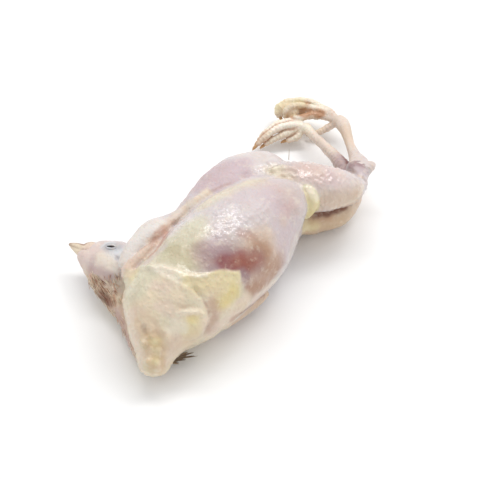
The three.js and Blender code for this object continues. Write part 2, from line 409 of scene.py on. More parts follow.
def merge(meshes):
    """Many closed meshes as one list of points and one of faces."""
    verts, faces, count = [], [], 0
    for points, quads, tris in meshes:
        verts.append(points)
        faces += (quads + count).tolist() + (tris + count).tolist()
        count += len(points)
    return np.vstack(verts), faces


class Nodes:
    """A material's node tree, with short calls for the nodes that the bird needs."""

    def __init__(self, name):
        self.material = bpy.data.materials.new(name)
        self.material.use_nodes = True
        self.tree = self.material.node_tree
        self.shader = self.tree.nodes["Principled BSDF"]
        self.place = self.tree.nodes.new("ShaderNodeTexCoord").outputs["Object"]
        paint = self.tree.nodes.new("ShaderNodeAttribute")
        paint.attribute_name = "paint"
        self.colour = paint.outputs["Color"]
        self.gloss = paint.outputs["Alpha"]

    def feed(self, node, **inputs):
        """Link the named inputs of a node, or set them to fixed values."""
        for name, value in inputs.items():
            socket = node.inputs[name.replace("_", " ")]
            if isinstance(value, bpy.types.NodeSocket):
                self.tree.links.new(value, socket)
            else:
                socket.default_value = value

    def add(self, kind, **inputs):
        """A new node with its named inputs fed."""
        node = self.tree.nodes.new("ShaderNode" + kind)
        self.feed(node, **inputs)
        return node

    def waves(self, size_mm, detail=3.0, roughness=0.55):
        """Cloudy noise of about the given size."""
        scale = 1 / (size_mm * MM)
        node = self.add("TexNoise", Vector=self.place, Scale=scale, Detail=detail, Roughness=roughness)
        return node.outputs["Fac"]

    def grains(self, size_mm):
        """Distance from the nearest of many scattered grains."""
        return self.add("TexVoronoi", Vector=self.place, Scale=1 / (size_mm * MM)).outputs["Distance"]

    def range(self, value, source, target):
        """The value, with its source range drawn out smoothly to the target range."""
        node = self.add("MapRange", Value=value, From_Min=source[0], From_Max=source[1])
        self.feed(node, To_Min=target[0], To_Max=target[1])
        node.interpolation_type = "SMOOTHSTEP"
        return node.outputs["Result"]

    def times(self, a, b):
        """Both values multiplied."""
        node = self.add("Math")
        node.operation = "MULTIPLY"
        self.tree.links.new(a, node.inputs[0])
        self.tree.links.new(b, node.inputs[1])
        return node.outputs[0]

    def mix(self, share, colour, tone):
        """The colour with a share of a fixed tone over it."""
        node = self.add("Mix", Factor=share)
        node.data_type = "RGBA"
        below, above = [socket for socket in node.inputs if socket.type == "RGBA"]
        self.tree.links.new(colour, below)
        above.default_value = (*tone, 1)
        return next(socket for socket in node.outputs if socket.type == "RGBA")

    def bump(self, height, depth_mm, **below):
        """A relief of the given depth, over the normal below it if there is one."""
        return self.add("Bump", Height=height, Distance=depth_mm * MM, **below).outputs["Normal"]

    def finish(self, colour, roughness, normal, **inputs):
        """The material, with the inputs of its shader fed."""
        self.feed(self.shader, Base_Color=colour, Roughness=roughness, Normal=normal, **inputs)
        return self.material


def skin_material():
    """Wet plucked skin: mottled, grained with follicles, letting light in a little way."""
    nodes = Nodes("skin")
    mottle = nodes.range(nodes.waves(5.0, 4, 0.6), (0.45, 0.75), (0, 0.25))
    colour = nodes.mix(mottle, nodes.colour, SKIN_MOTTLE)
    fat = nodes.range(nodes.waves(3.0, 3, 0.6), (0.5, 0.75), (0, 0.3))
    colour = nodes.mix(fat, colour, SKIN_FAT)
    pore = nodes.range(nodes.grains(1.5), (0, 0.3), (0.12, 0))
    colour = nodes.mix(pore, colour, SKIN_PORE)
    film = nodes.range(nodes.waves(6.0, 3), (0.35, 0.65), (0.75, 1.3))
    damp = nodes.times(nodes.range(nodes.gloss, (0, 1), (0.6, 0.4)), film)
    normal = nodes.bump(nodes.waves(1.7, 2, 0.5), 0.28)
    normal = nodes.bump(nodes.range(nodes.grains(1.4), (0.05, 0.5), (1, 0)), 0.08, Normal=normal)
    return nodes.finish(
        colour,
        damp,
        normal,
        Coat_Weight=nodes.range(nodes.gloss, (0.1, 1), (0, 0.9)),
        Coat_Normal=normal,
        Coat_Roughness=0.16,
        Subsurface_Weight=0.15,
        Subsurface_Radius=(1.0, 0.5, 0.35),
        Subsurface_Scale=1.4 * MM,
        Specular_IOR_Level=0.6,
    )


def foot_material():
    """Scaly foot skin, drier than the body."""
    nodes = Nodes("foot")
    mottle = nodes.range(nodes.waves(2.2, 4, 0.6), (0.4, 0.75), (0, 0.35))
    colour = nodes.mix(mottle, nodes.colour, FOOT_MOTTLE)
    wet = nodes.range(nodes.waves(1.8, 3), (0.35, 0.7), (0.3, 0.5))
    normal = nodes.bump(nodes.grains(0.7), 0.1)
    return nodes.finish(
        colour,
        wet,
        normal,
        Subsurface_Weight=0.12,
        Subsurface_Radius=(1.0, 0.5, 0.3),
        Subsurface_Scale=1.0 * MM,
    )


def horn_material():
    """Satin horn of the bill and claws, with a fine stain."""
    nodes = Nodes("horn")
    stain = nodes.range(nodes.waves(0.9, 4, 0.65), (0.4, 0.7), (0, 0.3))
    colour = nodes.mix(stain, nodes.colour, HORN_STAIN)
    wet = nodes.range(nodes.waves(1.2, 3), (0.35, 0.7), (0.28, 0.45))
    normal = nodes.bump(nodes.waves(0.5, 3), 0.05)
    return nodes.finish(colour, wet, normal)


def eye_material():
    """The wet dark of the half shut eye."""
    nodes = Nodes("eye")
    shade = nodes.range(nodes.waves(0.8, 3), (0.4, 0.7), (0, 0.4))
    colour = nodes.mix(shade, nodes.colour, EYE_SHADE)
    wet = nodes.range(nodes.waves(0.8, 2), (0.3, 0.7), (0.08, 0.16))
    normal = nodes.bump(nodes.waves(0.5, 2), 0.01)
    return nodes.finish(colour, wet, normal)


def feather_material():
    """Wet matted feather stubs."""
    nodes = Nodes("feather")
    stain = nodes.range(nodes.waves(0.6, 4, 0.7), (0.4, 0.7), (0, 0.3))
    colour = nodes.mix(stain, nodes.colour, FEATHER_STAIN)
    wet = nodes.range(nodes.waves(1.0, 3), (0.35, 0.7), (0.35, 0.6))
    normal = nodes.bump(nodes.waves(0.3, 3), 0.05)
    return nodes.finish(colour, wet, normal)


# The bird's limbs: stations of a place, a half width and a half height

BREAST = [
    ((-5, -28.5, 14.5), 13.7, 12.2),
    ((-3.7, -12.1, 17.2), 17.8, 18),
    ((-0.2, 5, 18.8), 19.7, 20.2),
    ((2.8, 22.2, 19), 18.2, 20.4),
    ((1.8, 37.8, 16.5), 14.8, 15.9),
    ((-1, 49.5, 13), 8.2, 8.2),
]
BACK = [
    ((-6, -24.6, 10), 10.2, 10.2),
    ((-6, -5.1, 11), 14.8, 11.2),
    ((-5, 26.1, 12), 15.4, 12.2),
    ((-5, 49.5, 12), 10.2, 10.2),
]
CROP = [
    ((0.6, -40.6, 7), 4, 5),
    ((-2, -34.5, 9.2), 6.8, 7.6),
    ((-5, -25.5, 13), 12.4, 12),
    ((-7, -15, 16.5), 16.5, 15.5),
    ((-6.5, -2, 18), 17, 16.5),
]
NECK = [
    ((-1, -32, 6), 4.2),
    ((-5.5, -32.5, 6.2), 4.8),
    ((-11, -29.5, 6.4), 4.4),
    ((-18.5, -24, 6.4), 4.2),
    ((-26, -17.5, 7.2), 5),
    ((-32, -10, 9), 6),
]
SKULL = [
    ((-23, -9, 10.2), 6),
    ((-30, -8.5, 10.2), 9.4),
    ((-37, -7.5, 10.5), 9),
    ((-43, -6.5, 10.8), 6.2, 5.4),
    ((-47, -6.3, 11), 3),
]
CHIN = [((-49.8, -8.7, 10.8), 1.9), ((-45.3, -10.6, 10.5), 3.2), ((-40, -11.5, 10), 5.4)]
THROAT = [
    ((-44.5, -10.4, 9.4), 3.4),
    ((-38, -14.1, 8.2), 3.9),
    ((-33.4, -16.9, 7), 3.6),
    ((-28.8, -19, 6), 3.1),
    ((-25, -22, 5), 2.4),
]
LEFT_UPPER_ARM = [((-13, -19, 21), 5), ((-18.5, -5, 22.5), 5.2), ((-22.5, 7, 25), 4.2)]
LEFT_FOREARM = [
    ((-26, -15.4, 21.4), 2.6),
    ((-26.4, -10.6, 23), 3.5),
    ((-25.8, -4.5, 24.6), 3.7),
    ((-24.2, 2.5, 25.8), 3.9),
    ((-22, 8.2, 25.8), 2.8),
    ((-19.4, 14, 26.2), 2),
    ((-16.6, 19, 27.6), 1.2),
]
WRIST_WEB = [((-24.4, -15.6, 22.2), 2), ((-20.8, -18.4, 23), 2.4), ((-16.4, -20, 24.4), 2.4)]
LEFT_HAND = [
    ((-23.9, -17.4, 22.6), 1.7),
    ((-23.2, -15, 25), 1.9, 1.7),
    ((-21.7, -11, 26.7), 1.8, 1.6),
    ((-20.3, -7, 27.8), 1.6, 1.5),
    ((-19, -3.8, 28.2), 1.3, 1.2),
]
RIGHT_UPPER_ARM = [((4.5, -18.5, 12.5), 5.4), ((8, -6, 9), 5), ((11, 6, 6), 4)]
RIGHT_FOREARM = [
    ((6, -15, 7), 2.2),
    ((10.3, -6.8, 6.8), 3),
    ((12.9, 0.2, 6.4), 3.4),
    ((15.6, 7.2, 6.5), 2.7),
    ((17.8, 11.4, 6.5), 1),
]
FLANK_FOLD = [((-21.5, 8, 22.5), 3.4), ((-18.5, 17, 24), 4), ((-14.5, 27, 26), 3.6)]
TAIL = [((-8, 50, 9), 7, 6), ((-10.5, 58, 8), 5.5, 4.5), ((-12, 64, 7), 2.5, 2)]
LEFT_THIGH = [
    ((-15.6, 12, 19.8), 7.5, 9),
    ((-14, 22.2, 20.3), 10.1, 11),
    ((-11.4, 35, 20.6), 12, 13),
    ((-5, 46.2, 21), 11.6, 12),
    ((3, 55, 22), 8.4, 8.4),
]
LEFT_DRUMSTICK = [
    ((-5, 37.5, 25.5), 7),
    ((3, 43, 25.5), 8.4),
    ((11, 47.6, 25), 9),
    ((17.2, 52, 23.5), 8.8),
    ((21.4, 56, 22), 7.6),
    ((25.5, 60.3, 20), 5.8),
    ((26.3, 64, 18.5), 4.2),
    ((25.2, 68.6, 17.6), 3.6, 3.4),
    ((23.4, 73, 17), 4.3, 3.3),
    ((21.2, 76.6, 16.8), 4, 3),
]
RIGHT_DRUMSTICK = [
    ((10, 44, 8.4), 6.8, 6.8),
    ((16, 52.8, 7.8), 7, 6.9),
    ((21.5, 58.7, 8), 6.7, 6.6),
    ((23.4, 66.6, 8.5), 4.4),
    ((19.4, 74.6, 8.8), 3.6),
    ((14.8, 78.6, 9.1), 3),
]
FAT_ROLL = [
    ((15.2, 43.2, 31), 0.7),
    ((16.4, 43.2, 30), 1.6),
    ((17.5, 42.9, 28.2), 2.4),
    ((18.3, 42.2, 25.2), 2.7),
    ((18, 41.6, 21.6), 2.2),
    ((16.2, 41, 17.6), 1.1),
]
BELLY = ((9.8, 35.3, 26.4), (9.8, 9, 9.2))
RIGHT_SHOULDER = ((3.8, -20, 15), (6.8, 7.4, 8.4))
HIPS = ((-4, 44, 13.5), (13.5, 13, 13))
RIGHT_THIGH = ((5.5, 38, 10.5), (11, 12, 10))
EYEBALL = ((-35.8, -6.2, 15.6), (4.2, 3.4, 3.8))


def skin_field(grid):
    """The bare body as one solid: limbs joined with folds as soft or as sharp as the real ones."""
    trunk = grid.solid(BREAST, (BACK, 7), (CROP, 6), (BELLY, 4), (RIGHT_SHOULDER, 1), (HIPS, 6), (TAIL, 4))
    left_leg = grid.solid(LEFT_THIGH, (LEFT_DRUMSTICK, 4))
    right_leg = grid.solid(RIGHT_THIGH, (RIGHT_DRUMSTICK, 4))
    left_wing = grid.solid(LEFT_UPPER_ARM, (LEFT_FOREARM, 2), (LEFT_HAND, 1.4))
    right_wing = grid.solid(RIGHT_UPPER_ARM, (RIGHT_FOREARM, 2))
    head = grid.solid(SKULL, (THROAT, 3), (CHIN, 2.5), (EYEBALL, 1.5), (NECK, 3))
    legs = [(left_leg, 1.2), (FLANK_FOLD, 2.5), (right_leg, 0.5)]
    wings = [(left_wing, 0.9), (WRIST_WEB, 2), (right_wing, 0.5)]
    body = grid.solid(trunk, *legs, *wings, (FAT_ROLL, 0.8), (head, 0.8))
    return cut(body, -grid.heights(), 1)


# The fat of the crop, by degrees around the trunk: where along it the fat ends, its blur and its rim

CROP_EDGE = [
    (-180, -14), (-90, -16), (-44, -16.2), (-20, -16), (2, -16), (18, -13), (33, -7.2), (48, -3.2),
    (58, -5.2), (71, -5), (86, -3), (130, -8), (180, -14),
]
CROP_BLUR = [(-180, 3), (-20, 2.6), (5, 1.8), (20, 1.0), (62, 1.0), (78, 2.4), (180, 3)]
CROP_RIM = [(-180, 0), (-80, 0.2), (-30, 0.8), (10, 0.8), (24, 0.3), (50, 0.1), (90, 0), (180, 0)]
TRUNK_AXIS = (-1, 18)
EDGE_WAVER = 0.9
EDGE_WAVE_LENGTH = 4
RIM_INSET = 0.8


def crop_share(points, noise):
    """How much of each point is crop fat, crisp where it meets the bruise, and the height of its rim."""
    angle = np.degrees(np.arctan2(points[:, 0] - TRUNK_AXIS[0], points[:, 2] - TRUNK_AXIS[1]))
    waver = EDGE_WAVER * noise.waves(points, EDGE_WAVE_LENGTH)
    inset = np.interp(angle, *zip(*CROP_EDGE)) - points[:, 1] + waver
    blur = np.interp(angle, *zip(*CROP_BLUR))
    rim = np.interp(angle, *zip(*CROP_RIM)) * np.exp(-((inset - RIM_INSET) ** 2))
    return soft(-inset, -blur, blur), rim


# Paths that both a fold and its paint follow; the paint along the creases is painted shade

LOWER_CREASE = [(-0.2, 43.4, 33.2), (1.5, 45.6, 33.6), (3.4, 48.3, 33.2), (6.3, 48.6, 33.7)]
MIDDLE_CREASE = [(1.7, 41.4, 33.3), (4, 43.2, 33.9), (6.8, 45, 34.2), (9.8, 45.5, 34.2)]
UPPER_CREASE = [(4.1, 38.5, 34.6), (6.4, 41, 34), (9.9, 42.5, 34), (13.1, 43, 34)]
HOCK_CREASE = [
    (19.3, 70.9, 17.6), (22.3, 69, 19.7), (25.1, 67.2, 21.2), (27.4, 66.7, 21.2), (29.1, 67, 19.6),
]
DRUMSTICK_RIDGE = [
    (21.2, 44.4, 20.9), (24.6, 47.3, 21.1), (27.7, 51.8, 20.6), (30.5, 57, 21.5), (30.2, 61.6, 22.4),
]
WING_RIDGE = [
    (-12, 26, 32.6), (-14.2, 23.1, 31.5), (-16.3, 19.5, 30.6), (-18.1, 15.4, 28.7), (-19.9, 11.3, 27),
    (-19.8, 4.4, 28.9), (-20.6, -1.2, 28.6),
]
EAR = (-32.1, -10.4, 19.5)

# Folds of the skin: height and half width of each, then the path it follows

CROP_FOLDS = [
    (-1.3, 0.9, (4.7, -17.5, 32.2), (6.3, -17.6, 30.1), (7.7, -17.5, 27.6), (10.1, -18.4, 23.4)),
    (-0.8, 0.9, (10.1, -18.4, 23.4), (10.6, -19.2, 21.4), (10.7, -20.2, 18.6), (10.6, -21.4, 16.6)),
    (0.8, 0.8, (2.7, -25.7, 26.4), (5.4, -23.6, 26.8), (7.7, -21.7, 26.2), (9.4, -20.4, 24.6)),
    (
        1.0, 1.0, (-13.8, -16.5, 32.1), (-8.9, -19, 34.3), (-4.4, -20, 34.8), (-0.6, -19.7, 34.1),
        (2.4, -19.5, 32.5),
    ),
    (0.9, 0.8, (-3, -15.5, 35.7), (-0.1, -15.1, 35.4), (3.6, -14.8, 35.1), (6, -12.3, 34.4)),
    (0.6, 1.0, (-17, -22, 26), (-15, -27, 22), (-12, -32, 17)),
    (-0.9, 1.1, (-6.9, -33.2, 21.1), (-5.6, -34.2, 20)),
    (-0.6, 1.2, (-9, -32.5, 21.7)),
    (-0.5, 0.9, (-3.5, -31.5, 23), (-1.6, -33.4, 21), (0.8, -34, 19.4)),
    (0.5, 1.0, (0.4, -31.4, 22), (2.8, -32.2, 19.6), (4.6, -33, 16)),
]
LEG_FOLDS = [
    (-0.5, 0.7, *LOWER_CREASE),
    (0.5, 0.8, (0.6, 42.3, 33.4), (2.8, 44.4, 33.8), (5, 46.6, 33.8), (8, 47, 34)),
    (-0.6, 0.7, *MIDDLE_CREASE),
    (0.4, 0.8, (2.8, 40.2, 34), (5.2, 42.4, 34), (8.4, 43.8, 34), (11.6, 44.2, 34)),
    (-0.5, 0.6, *UPPER_CREASE),
    (0.5, 0.9, (-2, 46, 33.4), (0, 48.4, 33.6), (3, 50, 33.4)),
    (0.35, 1.4, (12, 52, 34), (18, 56, 31.5), (24, 62, 26)),
    (-1.1, 0.8, *HOCK_CREASE),
    (0.5, 0.7, *DRUMSTICK_RIDGE),
]
WING_FOLDS = [(0.8, 1.1, *WING_RIDGE[:5]), (0.7, 1.0, *WING_RIDGE[4:])]
HEAD_FOLDS = [
    (-0.6, 0.9, EAR),
    (0.4, 1.2, (-26, -20, 11), (-21.5, -25, 10.8), (-16, -30, 10.5), (-11, -35, 10.5)),
    (-0.5, 0.7, (-24.5, -21.5, 11), (-20, -26.5, 10.8), (-15, -31.5, 10.5)),
]
# How far the fat of the crop stands out
FAT_THICKNESS = 0.14
# Height and size of the soft waves all over the skin
SKIN_WAVES = [(0.45, 9), (0.22, 3.6)]
# Centre, reach, height and steepness of the round swelling over the right shoulder
SHOULDER_SWELLING = ((7.2, -24.5, 21), 7, 1.6, 1.4)
# The lumpy tip of the crop
CROP_TIP = [(-2.5, -36, 18.8), (0.5, -37.5, 16), (2, -40, 12)]
LUMP_HEIGHT = 1.2
LUMP_SPACING = 3.2
# Bumps that pulled feathers left: faint on plain skin, stronger on the crop, the left drumstick and two
# tracts, each with its strength, the reach of its full and of its faded part, and its path
FOLLICLE_HEIGHT = 0.3
FOLLICLE_SPACING = 1.8
PLAIN_FOLLICLES = 0.3
LEG_FOLLICLES = 1.5
FEATHER_TRACTS = [
    (0.8, 6, 12, (-8, 0, 36), (-2, 8, 39), (9, 12, 38)),
    (1.5, 4, 11, (-20, -10, 12), (-20.5, 15, 11), (-18, 40, 12)),
]


def tip_lumps(points, noise):
    """How much of each point is the tip of the crop, and how far it is from a lump there."""
    return soft(path_distance(points, CROP_TIP), 2, 6), noise.grains(points, LUMP_SPACING)


def follicles(points, noise, fat):
    """Height of the bumps that pulled feathers left."""
    tract = np.maximum(fat, LEG_FOLLICLES * on_limb(points, LEFT_DRUMSTICK, 0.5, 2))
    for strength, inner, outer, *path in FEATHER_TRACTS:
        tract = np.maximum(tract, strength * soft(path_distance(points, path), inner, outer))
    share = PLAIN_FOLLICLES + (1 - PLAIN_FOLLICLES) * tract
    return FOLLICLE_HEIGHT * share * soft(noise.grains(points, FOLLICLE_SPACING), 0.05, 0.6)


def skin_relief(points, noise):
    """How far the skin stands out, in millimetres, from its plain form."""
    fat, rim = crop_share(points, noise)
    height = FAT_THICKNESS * fat + rim
    for swell, size in SKIN_WAVES:
        height += swell * noise.waves(points, size)
    centre, reach, swell, steepness = SHOULDER_SWELLING
    height += swell * np.maximum(0, 1 - (path_distance(points, [centre]) / reach) ** 2) ** steepness
    tip, lump = tip_lumps(points, noise)
    height += LUMP_HEIGHT * tip * soft(lump, 0.1, 0.6)
    height += follicles(points, noise, fat)
    for depth, width, *path in CROP_FOLDS + LEG_FOLDS + WING_FOLDS + HEAD_FOLDS:
        height += depth * np.exp(-((path_distance(points, path) / width) ** 2))
    return height


# Patches of colour: tone, strength, the reach of the full and of the faded part, then the path

BREAST_PATCHES = [
    (GREY_GREEN, 0.85, 3, 10, (-13, -8, 33.5), (-7, -6, 36), (-8, 0, 36.8)),
    (GREY_GREEN, 0.85, 3, 8, (-16, -13, 31), (-9, -14, 35), (-4, -12.5, 36.3)),
    (KHAKI, 0.75, 2, 7.5, (-9, -9.5, 35), (-3.3, -10, 36.2), (-0.3, -10.4, 36.2)),
    (KHAKI, 0.3, 2, 8, (-13, -8, 33.5), (-7, -3, 37)),
    (BUTTER, 0.45, 1, 6, (-10, 14.7, 36.3), (-5.2, 24.2, 37.3), (1.6, 32.5, 36.7)),
    (MAUVE, 0.55, 2, 11, (15.9, 26, 33), (19.6, 23.4, 27), (20.5, 16.5, 26.4)),
    (MAUVE, 0.5, 2, 8, (6, 31, 37), (12, 31, 35)),
    (PINK, 0.4, 1, 7, (10, 33, 35), (14.6, 32.7, 31.3)),
    (TAUPE, 0.3, 1, 6.5, (10.5, 32.5, 36.2), (13.3, 36.4, 34.9)),
    (ROSE, 0.3, 0.4, 2.6, (9.9, 32.9, 34.9)),
    (ROSE, 0.25, 0.5, 4, (14.6, 32.7, 31.3), (14.6, 29, 33)),
    (TAN, 0.35, 0.5, 4, (16.8, 23.9, 31.9)),
    (MAUVE, 0.35, 2, 9, (2, 24, 38.4), (8, 27, 37)),
    (TAUPE, 0.75, 1.5, 8, (1.4, -5.6, 36.9), (4.4, -6.8, 35.7), (6.2, -1.6, 36.7), (9, 1, 36)),
    (PURPLE, 0.7, 1, 9, (5, -4.6, 36.4), (6.2, -1.6, 36.7), (8.9, -4.9, 34.3), (12.7, -0.6, 33)),
    (TAN, 0.65, 3, 11, (15.5, 8.6, 32.6), (17, 7.3, 30), (19.7, 8.3, 24.6), (18.1, -1.7, 22.2)),
    (UMBER, 0.6, 1, 8.5, (16.2, 4.4, 30.4), (19.7, 8.3, 24.6), (20.4, 11, 20), (18.6, 0, 22)),
    (RUSSET, 0.75, 0.5, 5, (14.4, 8.4, 33.6), (16.1, 9.8, 32.1), (17.5, 10, 30.6)),
    (RUSSET, 0.6, 0.5, 7, (19.7, 8.3, 24.6), (20.2, 12, 24), (20, 9.9, 18)),
    (PLUM, 0.5, 1, 7, (6.6, -6, 35.1), (8.9, -3, 35), (12.7, -0.6, 33), (16.2, 4.4, 30.4)),
    (MAROON, 0.95, 1.2, 5.4, (8.9, -4.6, 34.4), (10.8, -2.8, 33.6), (12.7, -0.6, 33)),
    (BLOOD, 0.8, 0.8, 5.2, (12.9, -0.4, 33), (14.7, 1.5, 31.4), (16, 4, 30.6)),
    (PLUM, 0.8, 0.4, 3.6, (15, -2.5, 29.9), (16.4, -2.2, 27.2), (16.6, -4.8, 26.8)),
    (RUSSET, 0.6, 0.5, 4.5, (17.6, -3, 24), (18.1, -1.7, 22.2), (19.2, 2.6, 20)),
    (UMBER, 0.55, 0.4, 3.6, (9.1, 7.4, 37.3), (11, 8.4, 36.4), (12.4, 9.6, 35.6)),
    (PALE, 0.55, 1, 5, (19.8, 29, 19.5), (20.8, 23, 18), (21, 12, 14)),
    (PALE_CREAM, 0.6, 0.6, 3.4, (18.2, -3, 16.5), (19.3, 3.4, 15.4), (19.9, 12.2, 12)),
    (PINK, 0.6, 2, 8, (20, -2, 12), (21, 8, 8)),
]
BACK_PATCHES = [
    (BUTTER, 0.5, 2, 8, (-21, -6, 12), (-20.5, 12, 11), (-20, 28, 11)),
    (MAUVE, 0.6, 2, 9, (-20, 22, 19), (-19, 38, 15)),
    (PINK, 0.6, 1, 7, (-21, 2, 7), (-20, 18, 6)),
    (BUTTER, 0.6, 1, 7, (-10, 56, 10), (-12, 64, 8)),
    (ROSE, 0.3, 1, 5, (-16, 48, 12), (-13, 56, 10)),
]
CROP_PATCHES = [
    (BUTTER, 0.8, 2, 8, (2, -14, 32), (8, -10, 32), (11, -6, 31)),
    (TAN, 0.25, 2, 7, (4.5, -14.5, 33), (9, -12, 30)),
    (DEEP_BUTTER, 0.65, 0.4, 5, (14.7, -9.1, 26.5), (13.3, -12.9, 24.8)),
    (GREY_GREEN, 0.9, 2, 8, (-19.5, -19, 26.4), (-14.8, -18.2, 31.1), (-17.2, -24.8, 25.8)),
    (PALE_CREAM, 0.6, 0.6, 3, (-10.5, -16.5, 34), (-7.4, -16.9, 35.2), (-2.2, -18.3, 34.8)),
    # painted highlights: pale lines along the wet ridges at the rim of the crop
    (
        PALE_CREAM, 0.8, 0.3, 1.5, (-12, -17.2, 33), (-8.9, -18.6, 34.6), (-4.4, -19.5, 35.2),
        (-1, -19.2, 34.6),
    ),
    (PALE_CREAM, 0.8, 0.3, 1.5, (-3, -15.5, 35.9), (-0.1, -15, 35.7), (3.6, -14.5, 35.4), (6, -12.2, 34.6)),
    (PALE_CREAM, 0.5, 0.6, 3.5, (-17, -22, 26), (-14, -27, 21), (-10, -33, 17)),
    (TAN, 0.5, 1, 7, (-8.9, -31.8, 22.2), (-3.3, -34.6, 20.5), (0.3, -34.1, 19.5)),
    (TAN, 0.6, 0.8, 5.5, (-1, -36, 18), (2, -39.5, 14)),
    (BUTTER, 0.6, 0.5, 3, (-1, -35.3, 18.9), (1.3, -39, 14.6)),
    (BUTTER, 0.6, 1, 6, (7.3, -25.9, 21.2)),
    (TAN, 0.45, 1, 6, (8.4, -26, 17), (6, -30, 15)),
    (DEEP_BUTTER, 0.5, 0.4, 3.2, (7.3, -23.7, 24.3)),
    # painted highlights on the swelling over the right shoulder and along its ridge
    (PALE_CREAM, 0.7, 0.5, 3.4, (2.7, -27.8, 23.9), (5.2, -27.6, 21.8), (2, -30.2, 21.7)),
    (PALE_CREAM, 0.6, 0.3, 1.5, (2.7, -25.9, 26.2), (5.4, -23.8, 26.6), (7.7, -21.9, 26)),
    # painted shade in the hollow to the right of the fold
    (UMBER, 0.55, 0.3, 4, (10.9, -16.3, 26.1), (11.9, -17.4, 23.5), (12.6, -18.7, 19.7), (11.9, -20.5, 15.7)),
    (PINK, 0.5, 1, 6, (15, -11, 16), (12, -18, 15)),
    # painted shade along the fold line
    (UMBER, 0.6, 0.1, 1.0, (7.7, -17.5, 27.6), (9.1, -18, 25.8), (10.1, -18.4, 23.4), (10.7, -20.2, 18.6)),
    # painted shadow above the ridge of the swelling
    (RUST, 0.35, 0.1, 1.4, (2.5, -25.3, 28.1), (5.1, -23, 28.3), (7.5, -21.2, 27.7)),
    # painted shade in the crease at the tip of the crop
    (BROWN, 0.35, 0.2, 1.8, (-6.9, -33.2, 21.1), (-5.4, -34.2, 20)),
]
LEG_PATCHES = [
    (MAUVE, 1, 3, 12, (-18, 30, 30), (-9, 38, 33)),
    (PALE, 0.5, 1, 7, (-5, 48, 33), (-12, 46, 31)),
    (PALE, 0.5, 1, 5, (-3, 41, 33)),
    (BUTTER, 0.5, 1, 5, (2, 44, 34), (9, 44, 34)),
    # painted shade along the three knee creases
    (UMBER, 0.25, 0.1, 0.9, *LOWER_CREASE[:3]),
    (UMBER, 0.25, 0.1, 0.9, *MIDDLE_CREASE),
    (RUST, 0.25, 0.2, 1.4, *UPPER_CREASE),
    (PINK, 0.6, 2, 9, (14, 50, 34), (23, 55, 30)),
    (TAN, 0.75, 1.5, 8, (20, 45, 24), (25, 50, 22.5), (28, 56, 21)),
    (MAUVE, 0.7, 1, 7, (10, 47, 34.4), (20, 52, 32)),
    (ROSE, 0.15, 1, 6, (12, 49, 34), (20, 52, 32)),
    (TAN, 0.3, 1, 7, (10, 47, 34.4), (16, 50, 33)),
    (PALE_CREAM, 0.5, 0.3, 1.3, *DRUMSTICK_RIDGE[1:]),
    # painted shade along the hock crease
    (TAN, 0.5, 0.2, 1.2, *HOCK_CREASE[:3], (28.5, 66.8, 20.4)),
    # painted shade in the gap between the drumsticks, over the reddish meat showing there
    (SIENNA, 0.85, 1, 3.5, (20.5, 46, 17), (24.5, 50.5, 16.5), (28, 56, 16)),
    (PURPLE, 0.5, 2, 5, (21, 72, 20), (25, 72, 20)),
    (PLUM, 0.85, 0.6, 2.8, (20.2, 72.2, 19.5), (21.5, 72.7, 20.1), (23.2, 73.4, 20.2), (24.4, 73.4, 20.2)),
]
RIGHT_LEG_PATCHES = [
    (OCHRE, 0.45, 3, 9, (18, 48, 8), (24, 56, 8)),
    (LAVENDER, 0.85, 2.5, 7, (7.5, 51, 10), (11, 57.5, 10), (16.5, 63, 10), (17.5, 68, 10)),
    (PINK, 0.6, 1, 4.5, (11, 57, 6), (17, 64, 6)),
    (MAUVE, 0.7, 0.5, 4, (10, 56, 13), (14.5, 61, 13)),
    (PURPLE, 0.85, 2, 6, (21.4, 71, 11), (18, 76, 11.5)),
    (BUTTER, 0.7, 1, 5, (16.4, 42.4, 11.3), (18.3, 44.5, 10.4)),
    # painted shade on the right drumstick under the gap between the legs, over the reddish meat showing there
    (RUST, 0.4, 0.5, 3.5, (17.8, 45.3, 12.1), (20, 47.6, 12.2), (22.7, 50.5, 12)),
    (SIENNA, 0.95, 0.8, 2.4, (17.4, 43, 14), (18.8, 48.2, 13.7), (22.6, 52.2, 13.5), (26, 57, 13.3)),
]
WING_PATCHES = [
    (ROSE, 0.75, 0.3, 2.4, (-17.7, -10.6, 29), (-16.8, -6.7, 29.9), (-17, -2.9, 30.2), (-18.6, 2, 29)),
    (MAUVE, 0.5, 0.5, 4, (-16.5, -14, 29.5), (-14, -8, 31.5)),
    (CREAM, 0.7, 0.4, 2.8, *WING_RIDGE[1:5]),
    (TAN, 0.55, 0.4, 2.6, *WING_RIDGE[4:], (-21.6, -4.3, 27.4)),
    (RUST, 0.3, 0.2, 1.3, *WING_RIDGE[3:]),
    (UMBER, 0.45, 0.3, 2.2, (-20.9, -2.2, 28.6), (-20.4, 0.6, 29), (-20.2, 3, 29)),
    (TAN, 0.5, 1, 4, (-24.5, -16.5, 24), (-20, -18, 26.4)),
    (BUTTER, 0.5, 0.5, 3, (-18.8, -20.8, 26.1), (-18.6, -18.4, 27.9)),
    (UMBER, 0.35, 0.2, 1.0, (-13.5, 24, 32), (-11.2, 27.3, 32.3), (-8.9, 30.7, 32.5)),
]
HAND_PATCHES = [
    (TAN, 0.45, 1, 3, (-23.2, -15, 27), (-19, -3.8, 29)),
    (RUST, 0.4, 0.1, 0.9, (-23.4, -11.5, 27), (-21.8, -7.5, 28.4), (-20.4, -4, 29)),
    (UMBER, 0.6, 0.4, 2.6, (-20.1, -5.3, 29.2), (-20.4, -2.8, 28.1), (-19.8, -1, 28.9)),
]
FAT_PATCHES = [
    (DEEP_BUTTER, 0.5, 1, 3.5, (20, 41.5, 22)),
    (PALE_CREAM, 0.8, 0.6, 3, (15.2, 42.2, 32.6), (17.5, 43, 31), (19.5, 43.2, 28)),
]
